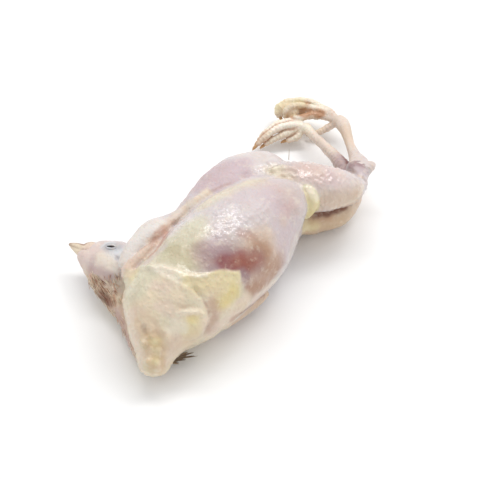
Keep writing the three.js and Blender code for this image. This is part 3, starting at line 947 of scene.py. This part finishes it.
# The gap between the breast and the right wing, darkened with painted shade
RIGHT_WING_GAP = [(17.2, -3, 12.6), (17.6, 1.2, 11.4), (17.4, 8, 8.8)]
RIGHT_WING_GAP_SHADE = [
    (UMBER, 0.6, 0.4, 2.6, (15.6, -11, 14.4), *RIGHT_WING_GAP),
    (BROWN, 0.5, 0.2, 1.1, (16.2, -8, 13.7), *RIGHT_WING_GAP),
]
# The darkest edge of the throat, which is painted shade, and the nape, where skin and feather stubs follow
# the same paths
THROAT_SHADE = [(-33.4, -20.4, 8.2), (-29.8, -21.4, 8.6), (-28.4, -22.2, 8.5)]
NAPE = [(-34, -18.4, 12.1), (-30.6, -18.3, 13), (-28.3, -19.4, 12.1)]
HEAD_PATCHES = [
    (PINK, 0.7, 2, 10, (-46, -10, 12), (-40, -12, 16)),
    (PURPLE, 0.55, 0.5, 5.5, (-40, -14.5, 14), (-33, -16, 15.5)),
    (PALE_CREAM, 0.55, 1, 4.5, (-38.6, -11.9, 17.8), (-34.8, -12.3, 18.7), (-32, -13.4, 18.3)),
    (BLUE_GREY, 0.85, 1.2, 4.8, (-39, -6, 18.4), (-33, -8, 19.6)),
    (SLATE, 0.45, 0.2, 1.4, EAR),
    (SLATE, 0.45, 0.5, 3, (-38.4, -6.8, 19.1), (-35.3, -6.4, 19.9)),
    (UMBER, 0.35, 1, 4.5, (-39.8, -17.6, 11.3), (-35.7, -19.4, 9.9), (-29, -22, 8)),
    (UMBER, 0.3, 0.8, 3.6, *NAPE),
    (SLATE, 0.2, 0.5, 3.6, (-30.5, -16.9, 15), (-28.8, -16.4, 14.6), (-27.7, -18.3, 12.5), (-26, -21, 11.6)),
    (BROWN, 0.6, 0.3, 0.9, (-29.4, -15.4, 15.8), (-28.4, -15.6, 15.4)),
    (TAN, 0.8, 2, 6, (-27, -21, 9), (-20, -27, 8.5), (-12, -33, 8.5)),
    (PURPLE, 0.6, 0.5, 4, (-24, -23, 8), (-14, -33, 7)),
    (UMBER, 0.45, 1, 4, (-22, -26, 7), (-18, -29.5, 7.5), (-11, -35, 8)),
    # painted shade along the darkest edge of the throat
    (BROWN, 0.85, 0.8, 3, *THROAT_SHADE),
]
# How wet the skin shines, in general and in patches: shine, then reach and path as for colours
SHINE = 0.55
SHINE_PATCHES = [
    (0.95, 5, 12, (-10, -2, 35), (0, 6, 38.5), (8, 10, 37.6)),
    (0.15, 3, 7, (1, -4.2, 37.4), (6, -3, 36.5), (13, 3, 34.5)),
    (0.2, 3, 8, (8, 20, 38), (13, 20, 36), (17, 24, 31)),
    (0.1, 4, 9, (4, 30, 37.4), (13, 33, 33)),
    (0.3, 2, 5, (-9, -9.5, 35), (-1, -10.4, 36.2)),
    (0.1, 5, 12, (-18, 22, 28), (-12, 34, 32), (-8, 42, 33)),
    (0.95, 1, 5, (-1, 41, 33.5), (1, 46, 33.5)),
    (0.95, 3, 8, (12, 48, 34), (20, 50, 31.6), (26, 52, 27)),
    (0.95, 1, 4, (-15, -17, 31), (-7.4, -17, 35), (-0.5, -15, 35), (5.5, -12.6, 34)),
    (0.3, 4, 10, (-8, -26, 25), (0, -32, 21)),
    (0.15, 8, 14, (-44, -9, 12), (-32, -12, 14)),
    (0.15, 3, 6, (-26, -12, 25), (-22, 8, 28)),
]
# Heights above the floor between which the relief of the skin and of the feet fades in
SKIN_FADE = (0.2, 2.5)
FOOT_FADE = (0.2, 0.8)


def skin_colours(points, noise):
    """The skin's colours and shine: fat, thin skin over dark meat, bruises, painted shade in folds and gaps,
    and painted highlights on wet ridges.
    """
    paint = Paint(points, LAVENDER, noise, SHINE)
    paint.patches(BREAST_PATCHES)
    crop = crop_share(points, noise)[0]
    paint.wash(CREAM, 0.92 * crop)
    paint.wash(GREY_GREEN, 0.6 * crop * soft(noise.waves(points, 6), -0.5, 0.1))
    paint.wash(PINK, 0.4 * crop * soft(-noise.waves(points, 4.4), -0.5, 0))
    paint.patches(CROP_PATCHES, crop)
    tip, lump = tip_lumps(points, noise)
    paint.wash(OCHRE, 0.45 * tip * (1 - soft(lump, 0.35, 0.7)))
    left_leg = np.maximum(*(on_limb(points, limb, 0.5, 1.5) for limb in (LEFT_THIGH, LEFT_DRUMSTICK)))
    paint.wash(LAVENDER, 0.8 * left_leg)
    paint.patches(LEG_PATCHES, left_leg)
    paint.patches(BACK_PATCHES)
    right_leg = on_limb(points, RIGHT_DRUMSTICK, 0.6, 1.6)
    paint.wash(TAN, 0.8 * right_leg)
    paint.patches(RIGHT_LEG_PATCHES, right_leg)
    paint.wash(BUTTER, 0.95 * on_limb(points, FAT_ROLL, 0.3, 0.8))
    paint.patches(FAT_PATCHES)
    paint.wash(PALE, 0.9 * on_limb(points, LEFT_FOREARM, 0.4, 1.4) * soft(points[:, 1], 3, 10))
    paint.patches(WING_PATCHES)
    paint.wash(PINK, 0.7 * on_limb(points, LEFT_HAND, 0.2, 0.9))
    paint.patches(HAND_PATCHES)
    paint.wash(TAN, 0.85 * on_limb(points, RIGHT_FOREARM, 0.3, 0.9))
    paint.patches(RIGHT_WING_GAP_SHADE + HEAD_PATCHES)
    paint.shine(SHINE_PATCHES)
    return np.column_stack([paint.colour, paint.gloss])


def make_skin(noise):
    """The body's skin, and its points and normals for what grows from it."""
    grid = Grid(SKIN_LOW, SKIN_HIGH, SKIN_VOXEL)
    verts, quads = grid.surface(skin_field(grid))
    normals = vertex_normals(verts, quads)
    lift = skin_relief(verts, noise) * (1 - soft(verts[:, 2], *SKIN_FADE))
    verts = verts + lift[:, None] * normals
    add_piece("skin", "skin", verts, quads, skin_colours(verts, noise), skin_material())
    return verts, vertex_normals(verts, quads)


# Feet

LEFT_SHANK = [
    ((24.2, 71.5, 17.2), 3.4, 3),
    ((21.6, 76.4, 16.9), 3.8, 3),
    ((18.3, 80.1, 16), 2.4),
    ((13.1, 86.9, 13.5), 1.8),
    ((7.7, 94.9, 10.8), 2.2),
    ((4, 99.4, 9.4), 2.8),
    ((-0.5, 102.6, 8), 2.6),
]
LEFT_HEEL = [((22.4, 71.6, 17), 3), ((25.2, 75, 17.2), 2.9), ((27.2, 79, 17.2), 1.2)]
RIGHT_SHANK = [
    ((20.6, 72.2, 8.7), 3),
    ((17.4, 76.6, 9), 3.2),
    ((13, 79.6, 9.2), 3),
    ((8, 82.6, 9.4), 2.3),
    ((-4.5, 89.8, 8), 1.9),
    ((-10.4, 93.6, 7), 2.5),
]
# A toe's radius at its root, how much slimmer it is at its tip, and how slim it is between its joints
TOE_RADIUS = 1.8
TOE_TAPER = 0.3
TOE_WAIST = 0.84
LEFT_BALL = (1.4, 102.3, 8)
RIGHT_BALL = (-10.4, 93.6, 7)
LEFT_TOES = [
    [
        LEFT_BALL, (-4.9, 103.8, 9.2), (-12.8, 105, 9.5), (-17.3, 103.1, 10), (-21.6, 100.7, 9.5),
        (-23.6, 97.7, 8.5), (-23.7, 95.4, 7), (-22.2, 95.3, 5),
    ],
    [
        LEFT_BALL, (-5.6, 102.9, 9), (-11.4, 101.4, 10), (-15.2, 99.8, 11), (-17.8, 97, 11.5),
        (-19.4, 94.9, 10), (-19.2, 94.7, 7.5), (-17.7, 95.3, 6),
    ],
    [
        LEFT_BALL, (-5.4, 101.6, 8), (-9.9, 99.4, 8.5), (-12.1, 95.9, 9), (-14.5, 94.2, 9),
        (-16.6, 94.1, 7.5), (-16.3, 95.4, 5.5),
    ],
    [LEFT_BALL, (-2.6, 98.9, 5), (-4.8, 96.2, 4), (-7.5, 94.5, 2.8)],
]
RIGHT_TOES = [
    [RIGHT_BALL, (-14.5, 90, 8.6), (-18.4, 86, 8.2), (-21.2, 81, 6.4), (-23.2, 77, 4)],
    [RIGHT_BALL, (-15.4, 86.7, 6), (-19, 82.5, 4.5), (-21, 79.6, 3.2)],
    [RIGHT_BALL, (-15.8, 92.4, 8), (-20, 88, 7.8), (-22.6, 82.6, 6), (-23.6, 79, 4.2)],
    [RIGHT_BALL, (-11.1, 88.9, 4.5), (-14.6, 85.9, 3.4)],
]
LEFT_PALM = [
    ((-6, 102.8, 6.8), 1.8),
    ((-12.5, 101.4, 7.2), 3),
    ((-19, 99.8, 6.8), 3.4),
    ((-23, 97.8, 6.8), 3.1),
    ((-25.6, 96.4, 6.4), 1.6),
]
LEFT_PAD = ((-18, 97, 8.4), (3.4, 3, 2.9))


def toe_stations(path):
    """A toe's stations: swollen at its joints and slimmer between them."""
    rows = np.array(path, float)
    stations = []
    for index, place in enumerate(rows):
        slim = 1 - TOE_TAPER * index / (len(rows) - 1)
        stations.append((tuple(place), TOE_RADIUS * slim))
        if index < len(rows) - 1:
            middle = spline(rows, [(index + 0.5) / (len(rows) - 1)])[0]
            stations.append((tuple(middle), TOE_WAIST * TOE_RADIUS * slim))
    return stations


def foot_field(grid, toes):
    """Both feet as one solid, cut off at the floor."""
    toes = [(toe, 0.4) for toe in toes]
    left_palm = [(LEFT_PALM, 0.6), (LEFT_PAD, 0.6)]
    feet = grid.solid(LEFT_SHANK, (LEFT_HEEL, 1), (RIGHT_SHANK, 1), *toes, *left_palm)
    return cut(feet, -grid.heights(), 0.3)


PLATE_LENGTH = 1.5
PLATE_GROOVE = 0.16
SCALE_HEIGHT = 0.1
SCALE_SPACING = 1.0
# Height and size of the soft waves all over the feet
FOOT_WAVES = (0.12, 2.5)


def foot_relief(points, limbs, noise):
    """Grooves between plates across each shank and toe, with small scales on them."""
    reach = np.full(len(points), np.inf)
    along = np.zeros(len(points))
    for stations in limbs:
        gap, length = limb_reach(points, stations, steps=120)
        along = np.where(gap < reach, length, along)
        reach = np.minimum(reach, gap)
    plate = np.abs((along / PLATE_LENGTH) % 1 - 0.5) * 2
    groove = -PLATE_GROOVE * (1 - soft(1 - plate, 0.1, 0.5))
    scales = SCALE_HEIGHT * soft(noise.grains(points, SCALE_SPACING), 0.1, 0.6)
    swell, size = FOOT_WAVES
    return groove + scales + swell * noise.waves(points, size)


FOOT_PATCHES = [
    (LAVENDER, 0.8, 2, 6, (26, 74, 18), (20, 80, 16)),
    (PURPLE, 0.8, 1.5, 5, (19, 76, 9), (12, 80.5, 10)),
    (MAROON, 0.8, 0.3, 1.4, (12, 84.1, 11), (14.4, 81, 11.4), (17, 77.5, 11.4)),
    (TAN, 0.4, 1.5, 5, (13, 87, 13.5), (7, 95, 11)),
    (BUTTER, 0.7, 1, 5, (-24, 97, 9), (-19.4, 98.4, 11), (-15.9, 100.4, 11)),
    (TAN, 0.5, 1, 4.5, (-21, 96.5, 10), (-15, 97, 11.4)),
    (OCHRE, 0.7, 0.5, 3, (-18.6, 95.1, 8), (-14.1, 94.4, 9)),
    # painted shade over a brown stain, in and beside the hollow of the curled left toes
    (CINNAMON, 0.8, 0.6, 2.6, (-13.7, 99, 9), (-13.4, 102, 10.6)),
    (CINNAMON, 0.85, 0.8, 2.6, (-13, 95.4, 10), (-12.1, 96.4, 10.6), (-10, 99, 10), (-6.5, 101, 9.4)),
    (CINNAMON, 0.4, 0.6, 3, (-21.4, 81.4, 6), (-23, 78, 5)),
    (TAN, 0.5, 1, 5, (-2, 101, 4), (-6, 97, 3)),
    (IVORY, 0.85, 1.2, 3.6, (-12, 92.4, 9.6), (-16, 89, 10), (-20, 85.6, 9.2)),
]
# The way that the soles face, whose side of each toe gets painted shade, and where along X the shanks go over
# into toes
SOLE = np.array([0.37, -0.66, -0.65])
TOES_START = (-8, -2)
# Where the toes of each foot run close together before they spread
TOE_ROOTS = [[LEFT_BALL, (-8, 102.5, 9)], [RIGHT_BALL]]


def toe_creases(points, toes):
    """How deep each point lies between two toes, beyond the place where they spread."""
    gaps = np.sort([limb_reach(points, toe)[0] for toe in toes], axis=0)
    from_root = np.min([path_distance(points, path) for path in TOE_ROOTS], axis=0)
    return soft(gaps[1], 0.2, 1.0) * (1 - soft(from_root, 3, 6))


def foot_colours(points, normals, toes, noise):
    """Pale toes, with painted shade on their undersides and in the creases between them."""
    paint = Paint(points, FOOT, noise)
    on_toes = soft(points[:, 0], *TOES_START)
    paint.wash(PALE_CREAM, 0.9 * on_toes)
    # painted shade on the undersides of the toes, the sides that face the soles' way
    paint.wash(RUST, 0.35 * on_toes * soft(-(normals @ SOLE), -0.7, -0.2))
    paint.patches(FOOT_PATCHES)
    # painted shade in the creases between the toes
    paint.wash(RUST, 0.7 * toe_creases(points, toes))
    return paint.colour


def make_feet(noise):
    """Both feet, without their claws."""
    grid = Grid(FOOT_LOW, FOOT_HIGH, FOOT_VOXEL)
    toes = [toe_stations(path) for path in LEFT_TOES + RIGHT_TOES]
    verts, quads = grid.surface(foot_field(grid, toes))
    normals = vertex_normals(verts, quads)
    relief = foot_relief(verts, [LEFT_SHANK, RIGHT_SHANK] + toes, noise)
    lift = relief * (1 - soft(verts[:, 2], *FOOT_FADE))
    verts = verts + lift[:, None] * normals
    add_piece("feet", "skin", verts, quads, foot_colours(verts, normals, toes, noise), foot_material())


# A claw's stations: how far on from the toe's end, how much of its droop, radius and lowest height
CLAW_STATIONS = [(-0.6, 0, 0.75, 0), (1.2, 0.3, 0.6, 0.7), (2.16, 1.6, 0.12, 0.4)]
# How far a claw droops, or is turned up where its toe ends low over the floor
CLAW_DROOP = 0.35
LOW_CLAW_DROOP = -0.1
LOW_TOE = 3


def make_claws():
    """A curved tapering claw at the end of each toe."""
    meshes = []
    for path in LEFT_TOES + RIGHT_TOES:
        end = np.array(path[-1], float)
        way = end - path[-2]
        way /= np.linalg.norm(way)
        droop = CLAW_DROOP if end[2] > LOW_TOE else LOW_CLAW_DROOP
        stations = []
        for along, bend, radius, lowest in CLAW_STATIONS:
            x, y, z = end + along * way
            stations.append(((x, y, max(z - bend * droop, lowest)), radius))
        meshes.append(limb_mesh(stations, around=12, along=16))
    verts, faces = merge(meshes)
    add_piece("claws", "horn", verts, faces, one_tone(CLAW, verts), horn_material())


# Bill and eye

UPPER_BILL = [
    ((-42.5, -6, 11.2), 3.2, 3.4),
    ((-46.8, -6.7, 11.4), 2.5, 2.6),
    ((-49.4, -7.4, 11.4), 1.9, 2),
    ((-52.7, -7.3, 11), 1.3, 1.4),
    ((-55.8, -7.4, 10.6), 0.5, 0.5),
]
LOWER_BILL = [
    ((-43.5, -9.2, 10.8), 2.8, 2.8),
    ((-48.5, -9, 10.8), 1.9, 1.9),
    ((-52, -8.4, 10.7), 1.1, 1.1),
    ((-54.6, -7.9, 10.5), 0.5, 0.5),
]
CERE = [((-49.4, -6.4, 12.4), 0.8), ((-47, -5.3, 12.8), 1.3), ((-44, -4.9, 12.6), 1.5)]
NOSTRIL = [((-47.6, -7, 14.4), 0.5), ((-49.4, -7.4, 13.6), 0.35)]
EYE_SLIT = [
    ((-38.6, -7.35, 19.05), 0.25, 0.2),
    ((-36.8, -7.15, 19.7), 0.5, 0.3),
    ((-35.4, -6.85, 19.95), 0.3, 0.2),
]
UPPER_LID = [
    ((-38.9, -7.2, 18.9), 0.25),
    ((-37.6, -6.6, 19.45), 0.4),
    ((-36.2, -6.25, 19.85), 0.4),
    ((-34.9, -6.6, 19.95), 0.25),
]
LOWER_LID = [
    ((-38.9, -7.5, 18.9), 0.25),
    ((-37.4, -8, 19.35), 0.4),
    ((-36, -7.85, 19.75), 0.4),
    ((-34.9, -7, 19.95), 0.25),
]
BILL_PATCHES = [
    (PINK, 0.85, 2, 6, (-44, -7, 14), (-46, -9, 12)),
    (BROWN, 0.8, 0.5, 1.5, (-55.6, -7, 10.8), (-53.3, -6.2, 12), (-49.7, -6.2, 13)),
    (BROWN, 0.5, 0.4, 1.2, (-49.4, -5.6, 13), (-47.5, -4.4, 13.4), (-44.5, -3.4, 13.6)),
    (BROWN, 0.5, 0.2, 0.7, (-47, -8.4, 13), (-51, -8.2, 12.1), (-55, -7.8, 10.9)),
]


def make_bill(noise):
    """Both halves of the short closed bill, with the soft cere and the nostril."""
    grid = Grid(BILL_LOW, BILL_HIGH, BILL_VOXEL)
    field = grid.solid(UPPER_BILL, (LOWER_BILL, 0.15), (CERE, 0.3))
    verts, quads = grid.surface(cut(field, -grid.solid(NOSTRIL), 0.4))
    paint = Paint(verts, HORN, noise)
    paint.patches(BILL_PATCHES)
    add_piece("bill", "horn", verts, quads, paint.colour, horn_material())


def make_eye():
    """The lids and the dark slit between them."""
    lids = merge([limb_mesh(lid, around=16, along=24) for lid in (UPPER_LID, LOWER_LID)])
    add_piece("eyelids", "skin", *lids, one_tone(EYELID, lids[0]), skin_material())
    slit = merge([limb_mesh(EYE_SLIT, around=20, along=24)])
    add_piece("eye", "eye", *slit, one_tone(EYE, slit[0]), eye_material())


# Feather stubs

THROAT_SIDE = [(-39.8, -17.6, 11.3), (-35.7, -19.4, 9.9), (-31.3, -21.1, 8.8)]
BEHIND_CHEEK = [(-32.6, -16.1, 16.2), (-28.9, -15.2, 16.3), (-27.5, -17, 13.4), (-27.7, -19.5, 12)]
NECK_SIDE = [(-26, -22, 8), (-18, -29, 8), (-11, -35, 8)]
LEFT_WRIST = [(-23.9, -17.6, 22)]
FEATHER_TONES = [
    tint(220, 176, 148),
    tint(232, 204, 174),
    tint(240, 224, 200),
    tint(218, 202, 176),
    tint(166, 118, 94),
]
# Groups of stubs: path, spread around it, count, flow, length, half width and lift off the skin
FEATHER_GROUPS = [
    (THROAT_SIDE, 3.6, 620, (14, -6.5, -3.5), 4.2, 0.2, 0),
    (NAPE, 2.4, 260, (12, -8, -4), 3.6, 0.18, 0),
    (BEHIND_CHEEK, 2.0, 90, (8, -7, -6), 2.8, 0.14, 0.02),
    (NECK_SIDE, 2.6, 120, (10, -8, -1), 3.6, 0.15, 0.02),
    (LEFT_WRIST, 2.4, 8, (4, -8, -6), 2.4, 0.2, 0.2),
]
BLADE_RINGS = 6
BLADE_TAPER = 0.7
# How each stub may differ: a turn off the flow, shares of its length and width, and its droop
STUB_SWAY = 0.16
STUB_LENGTHS = (0.6, 1.25)
STUB_WIDTHS = (0.7, 1.3)
STUB_DROOPS = (0.08, 0.3)
STUB_HALF_THICKNESS = 0.1
STUB_DEPTH = 0.2
STUB_LOWEST = 0.15


def blade(root, way, over, length, half_width, half_thick, droop):
    """One flat tapering barb with a pointed tip, as points, quads and triangles."""
    side = np.cross(way, over)
    side /= np.linalg.norm(side)
    over = np.cross(side, way)
    share = np.arange(BLADE_RINGS) / BLADE_RINGS
    spine = root + np.outer(share * length, way) - np.outer(droop * share**2 * length, over)
    wide = half_width * np.sqrt(1 - share**2)
    thick = half_thick * (1 - BLADE_TAPER * share)
    corners = [(1, 0), (0, 1), (-1, 0), (0, -1)]
    rings = np.stack(
        [spine + (a * wide)[:, None] * side + (b * thick)[:, None] * over for a, b in corners], axis=1
    )
    tip = root + length * way - droop * length * over
    return close_rings(rings, root, tip)


def grow(rng, skin, path, spread, count, flow, length, half_width, lift):
    """Feather stubs that lie along the skin around a path, all flowing one way."""
    points, normals = skin
    near = np.nonzero(path_distance(points, path) < spread)[0]
    flow = np.asarray(flow, float) / np.linalg.norm(flow)
    blades = []
    for index in rng.choice(near, count):
        over = normals[index]
        way = flow - (flow @ over) * over + lift * over + rng.normal(0, STUB_SWAY, 3)
        way /= np.linalg.norm(way)
        reach = length * rng.uniform(*STUB_LENGTHS)
        width = half_width * rng.uniform(*STUB_WIDTHS)
        droop = rng.uniform(*STUB_DROOPS)
        root = points[index] - STUB_DEPTH * over
        mesh = blade(root, way, over, reach, width, STUB_HALF_THICKNESS, droop)
        mesh[0][:, 2] = np.maximum(mesh[0][:, 2], STUB_LOWEST)
        blades.append(mesh)
    return blades


def make_feathers(skin):
    """Matted stubs on the throat, neck and left wrist."""
    rng = np.random.default_rng(SEED)
    blades = []
    for group in FEATHER_GROUPS:
        blades += grow(rng, skin, *group)
    verts, faces = merge(blades)
    tones = np.repeat(rng.integers(0, len(FEATHER_TONES), len(blades)), [len(b[0]) for b in blades])
    colours = np.array(FEATHER_TONES)[tones]
    # painted shade: stubs near the darkest edge of the throat turn brown
    stain = 0.7 * soft(path_distance(verts, THROAT_SHADE), 0.8, 3.2)
    colours += stain[:, None] * (BROWN - colours)
    add_piece("throat_feathers", "feather", verts, faces, colours, feather_material())


QUILL_BROWN = tint(142, 120, 92)
QUILL_DARK = tint(110, 88, 66)
QUILL_PALE = tint(176, 166, 146)
# A fan of quill stubs at the right wrist: the lines that its roots and its tips lie on
FAN_ROOTS = [(1.6, -30.8, 3.2), (2.2, -29.4, 4.6), (2.2, -28.4, 6.2)]
FAN_TIPS = [
    (4.4, -29, 2), (5.4, -27.4, 2.6), (7.4, -25, 3), (9.6, -23.2, 3.6), (7, -23.8, 4.6), (6, -23.3, 6),
    (3.8, -24.4, 6.8),
]
FAN_COUNT = 15
QUILL_HALF_WIDTH = 0.6
QUILL_DROOP = 0.04
# Quills go in threes, and each is cut shorter than the one before by this share of the full length
QUILL_STEP = 0.22
# The line that the flat sides of all quills lie along
QUILL_SPAN = (0.87, 0.49, 0)
# Root, tip, half width and tone of the one stub left by the left knee
KNEE_STUB = ((3.6, 52.5, 31), (2.7, 54.4, 35.2), 0.12, QUILL_PALE)


def pin_feather_rows():
    """Root, tip, half width and tone of each quill stub."""
    share = np.linspace(0, 1, FAN_COUNT)
    rows = [KNEE_STUB]
    for index, (root, tip) in enumerate(zip(spline(FAN_ROOTS, share), spline(FAN_TIPS, share))):
        shorter = QUILL_STEP * (index % 3) * (tip - root)
        tone = QUILL_DARK if index % 2 else QUILL_BROWN
        rows.append((root, tip - shorter, QUILL_HALF_WIDTH, tone))
    return rows


def make_pin_feathers():
    """Quill stubs that plucking left behind."""
    blades = []
    colours = []
    for root, tip, width, tone in pin_feather_rows():
        way = np.subtract(tip, root)
        length = np.linalg.norm(way)
        over = np.cross(way, QUILL_SPAN)
        over /= np.linalg.norm(over)
        mesh = blade(np.array(root, float), way / length, over, length, width, 0.5 * width, QUILL_DROOP)
        blades.append(mesh)
        colours.append(one_tone(tone, mesh[0]))
    verts, faces = merge(blades)
    add_piece("pin_feathers", "feather", verts, faces, np.vstack(colours), feather_material())


# Camera, floor and light

FLOOR_REACH = 3000
FLOOR_WHITE = (0.92, 0.92, 0.92, 1)
FLOOR_ROUGHNESS = 0.6
WORLD_WHITE = (1, 1, 1, 1)
WORLD_STRENGTH = 0.79
# Soft lights, in metres and watts: name, place, width, height and power, all aimed at one place
LIGHT_AIM = (0, 0.03, 0)
SOFTBOXES = [
    ("softbox", (-0.22, 0.5, 1.08), 1.0, 0.22, 5),
    ("side_softbox", (0.23, 0.72, 0.92), 0.5, 0.3, 2.4),
]


def make_camera():
    """A camera on a sphere around the place that it looks at."""
    flat = math.cos(CAMERA_ELEVATION)
    back = np.array(
        [math.sin(CAMERA_AZIMUTH) * flat, -math.cos(CAMERA_AZIMUTH) * flat, math.sin(CAMERA_ELEVATION)]
    )
    data = bpy.data.cameras.new("camera")
    data.sensor_width = CAMERA_SENSOR
    data.sensor_height = CAMERA_SENSOR
    data.sensor_fit = "HORIZONTAL"
    data.angle = CAMERA_VIEW_ANGLE
    data.clip_start = CAMERA_NEAR * MM
    camera = bpy.data.objects.new("camera", data)
    camera.location = (np.array(CAMERA_AIM) + CAMERA_DISTANCE * back) * MM
    camera.rotation_euler = (math.pi / 2 - CAMERA_ELEVATION, 0, CAMERA_AZIMUTH)
    bpy.context.scene.collection.objects.link(camera)
    bpy.context.scene.camera = camera


def make_floor():
    """A wide white floor."""
    corners = [FLOOR_REACH * np.array(corner) for corner in [(-1, -1, 0), (1, -1, 0), (1, 1, 0), (-1, 1, 0)]]
    floor = add_mesh("floor", corners, [(0, 1, 2, 3)], smooth=False)
    material = bpy.data.materials.new("floor")
    material.use_nodes = True
    shader = material.node_tree.nodes["Principled BSDF"]
    shader.inputs["Base Color"].default_value = FLOOR_WHITE
    shader.inputs["Roughness"].default_value = FLOOR_ROUGHNESS
    floor.data.materials.append(material)


def add_softbox(name, place, width, height, power):
    """A soft light from a rectangle that faces the bird."""
    data = bpy.data.lights.new(name, "AREA")
    data.shape = "RECTANGLE"
    data.size = width
    data.size_y = height
    data.energy = power
    light = bpy.data.objects.new(name, data)
    light.location = place
    way = np.subtract(LIGHT_AIM, place)
    light.rotation_euler = (
        math.atan2(math.hypot(way[0], way[1]), -way[2]),
        0,
        math.atan2(way[1], way[0]) - math.pi / 2,
    )
    bpy.context.scene.collection.objects.link(light)


def make_light():
    """Even white light from all round, and soft lights behind the bird."""
    world = bpy.data.worlds.new("world")
    world.use_nodes = True
    background = world.node_tree.nodes["Background"]
    background.inputs["Color"].default_value = WORLD_WHITE
    background.inputs["Strength"].default_value = WORLD_STRENGTH
    bpy.context.scene.world = world
    for row in SOFTBOXES:
        add_softbox(*row)
    bpy.context.scene.view_settings.view_transform = "Standard"


noise = Noise(SEED)
make_camera()
skin = make_skin(noise)
make_feet(noise)
make_claws()
make_bill(noise)
make_eye()
make_feathers(skin)
make_pin_feathers()
make_floor()
make_light()
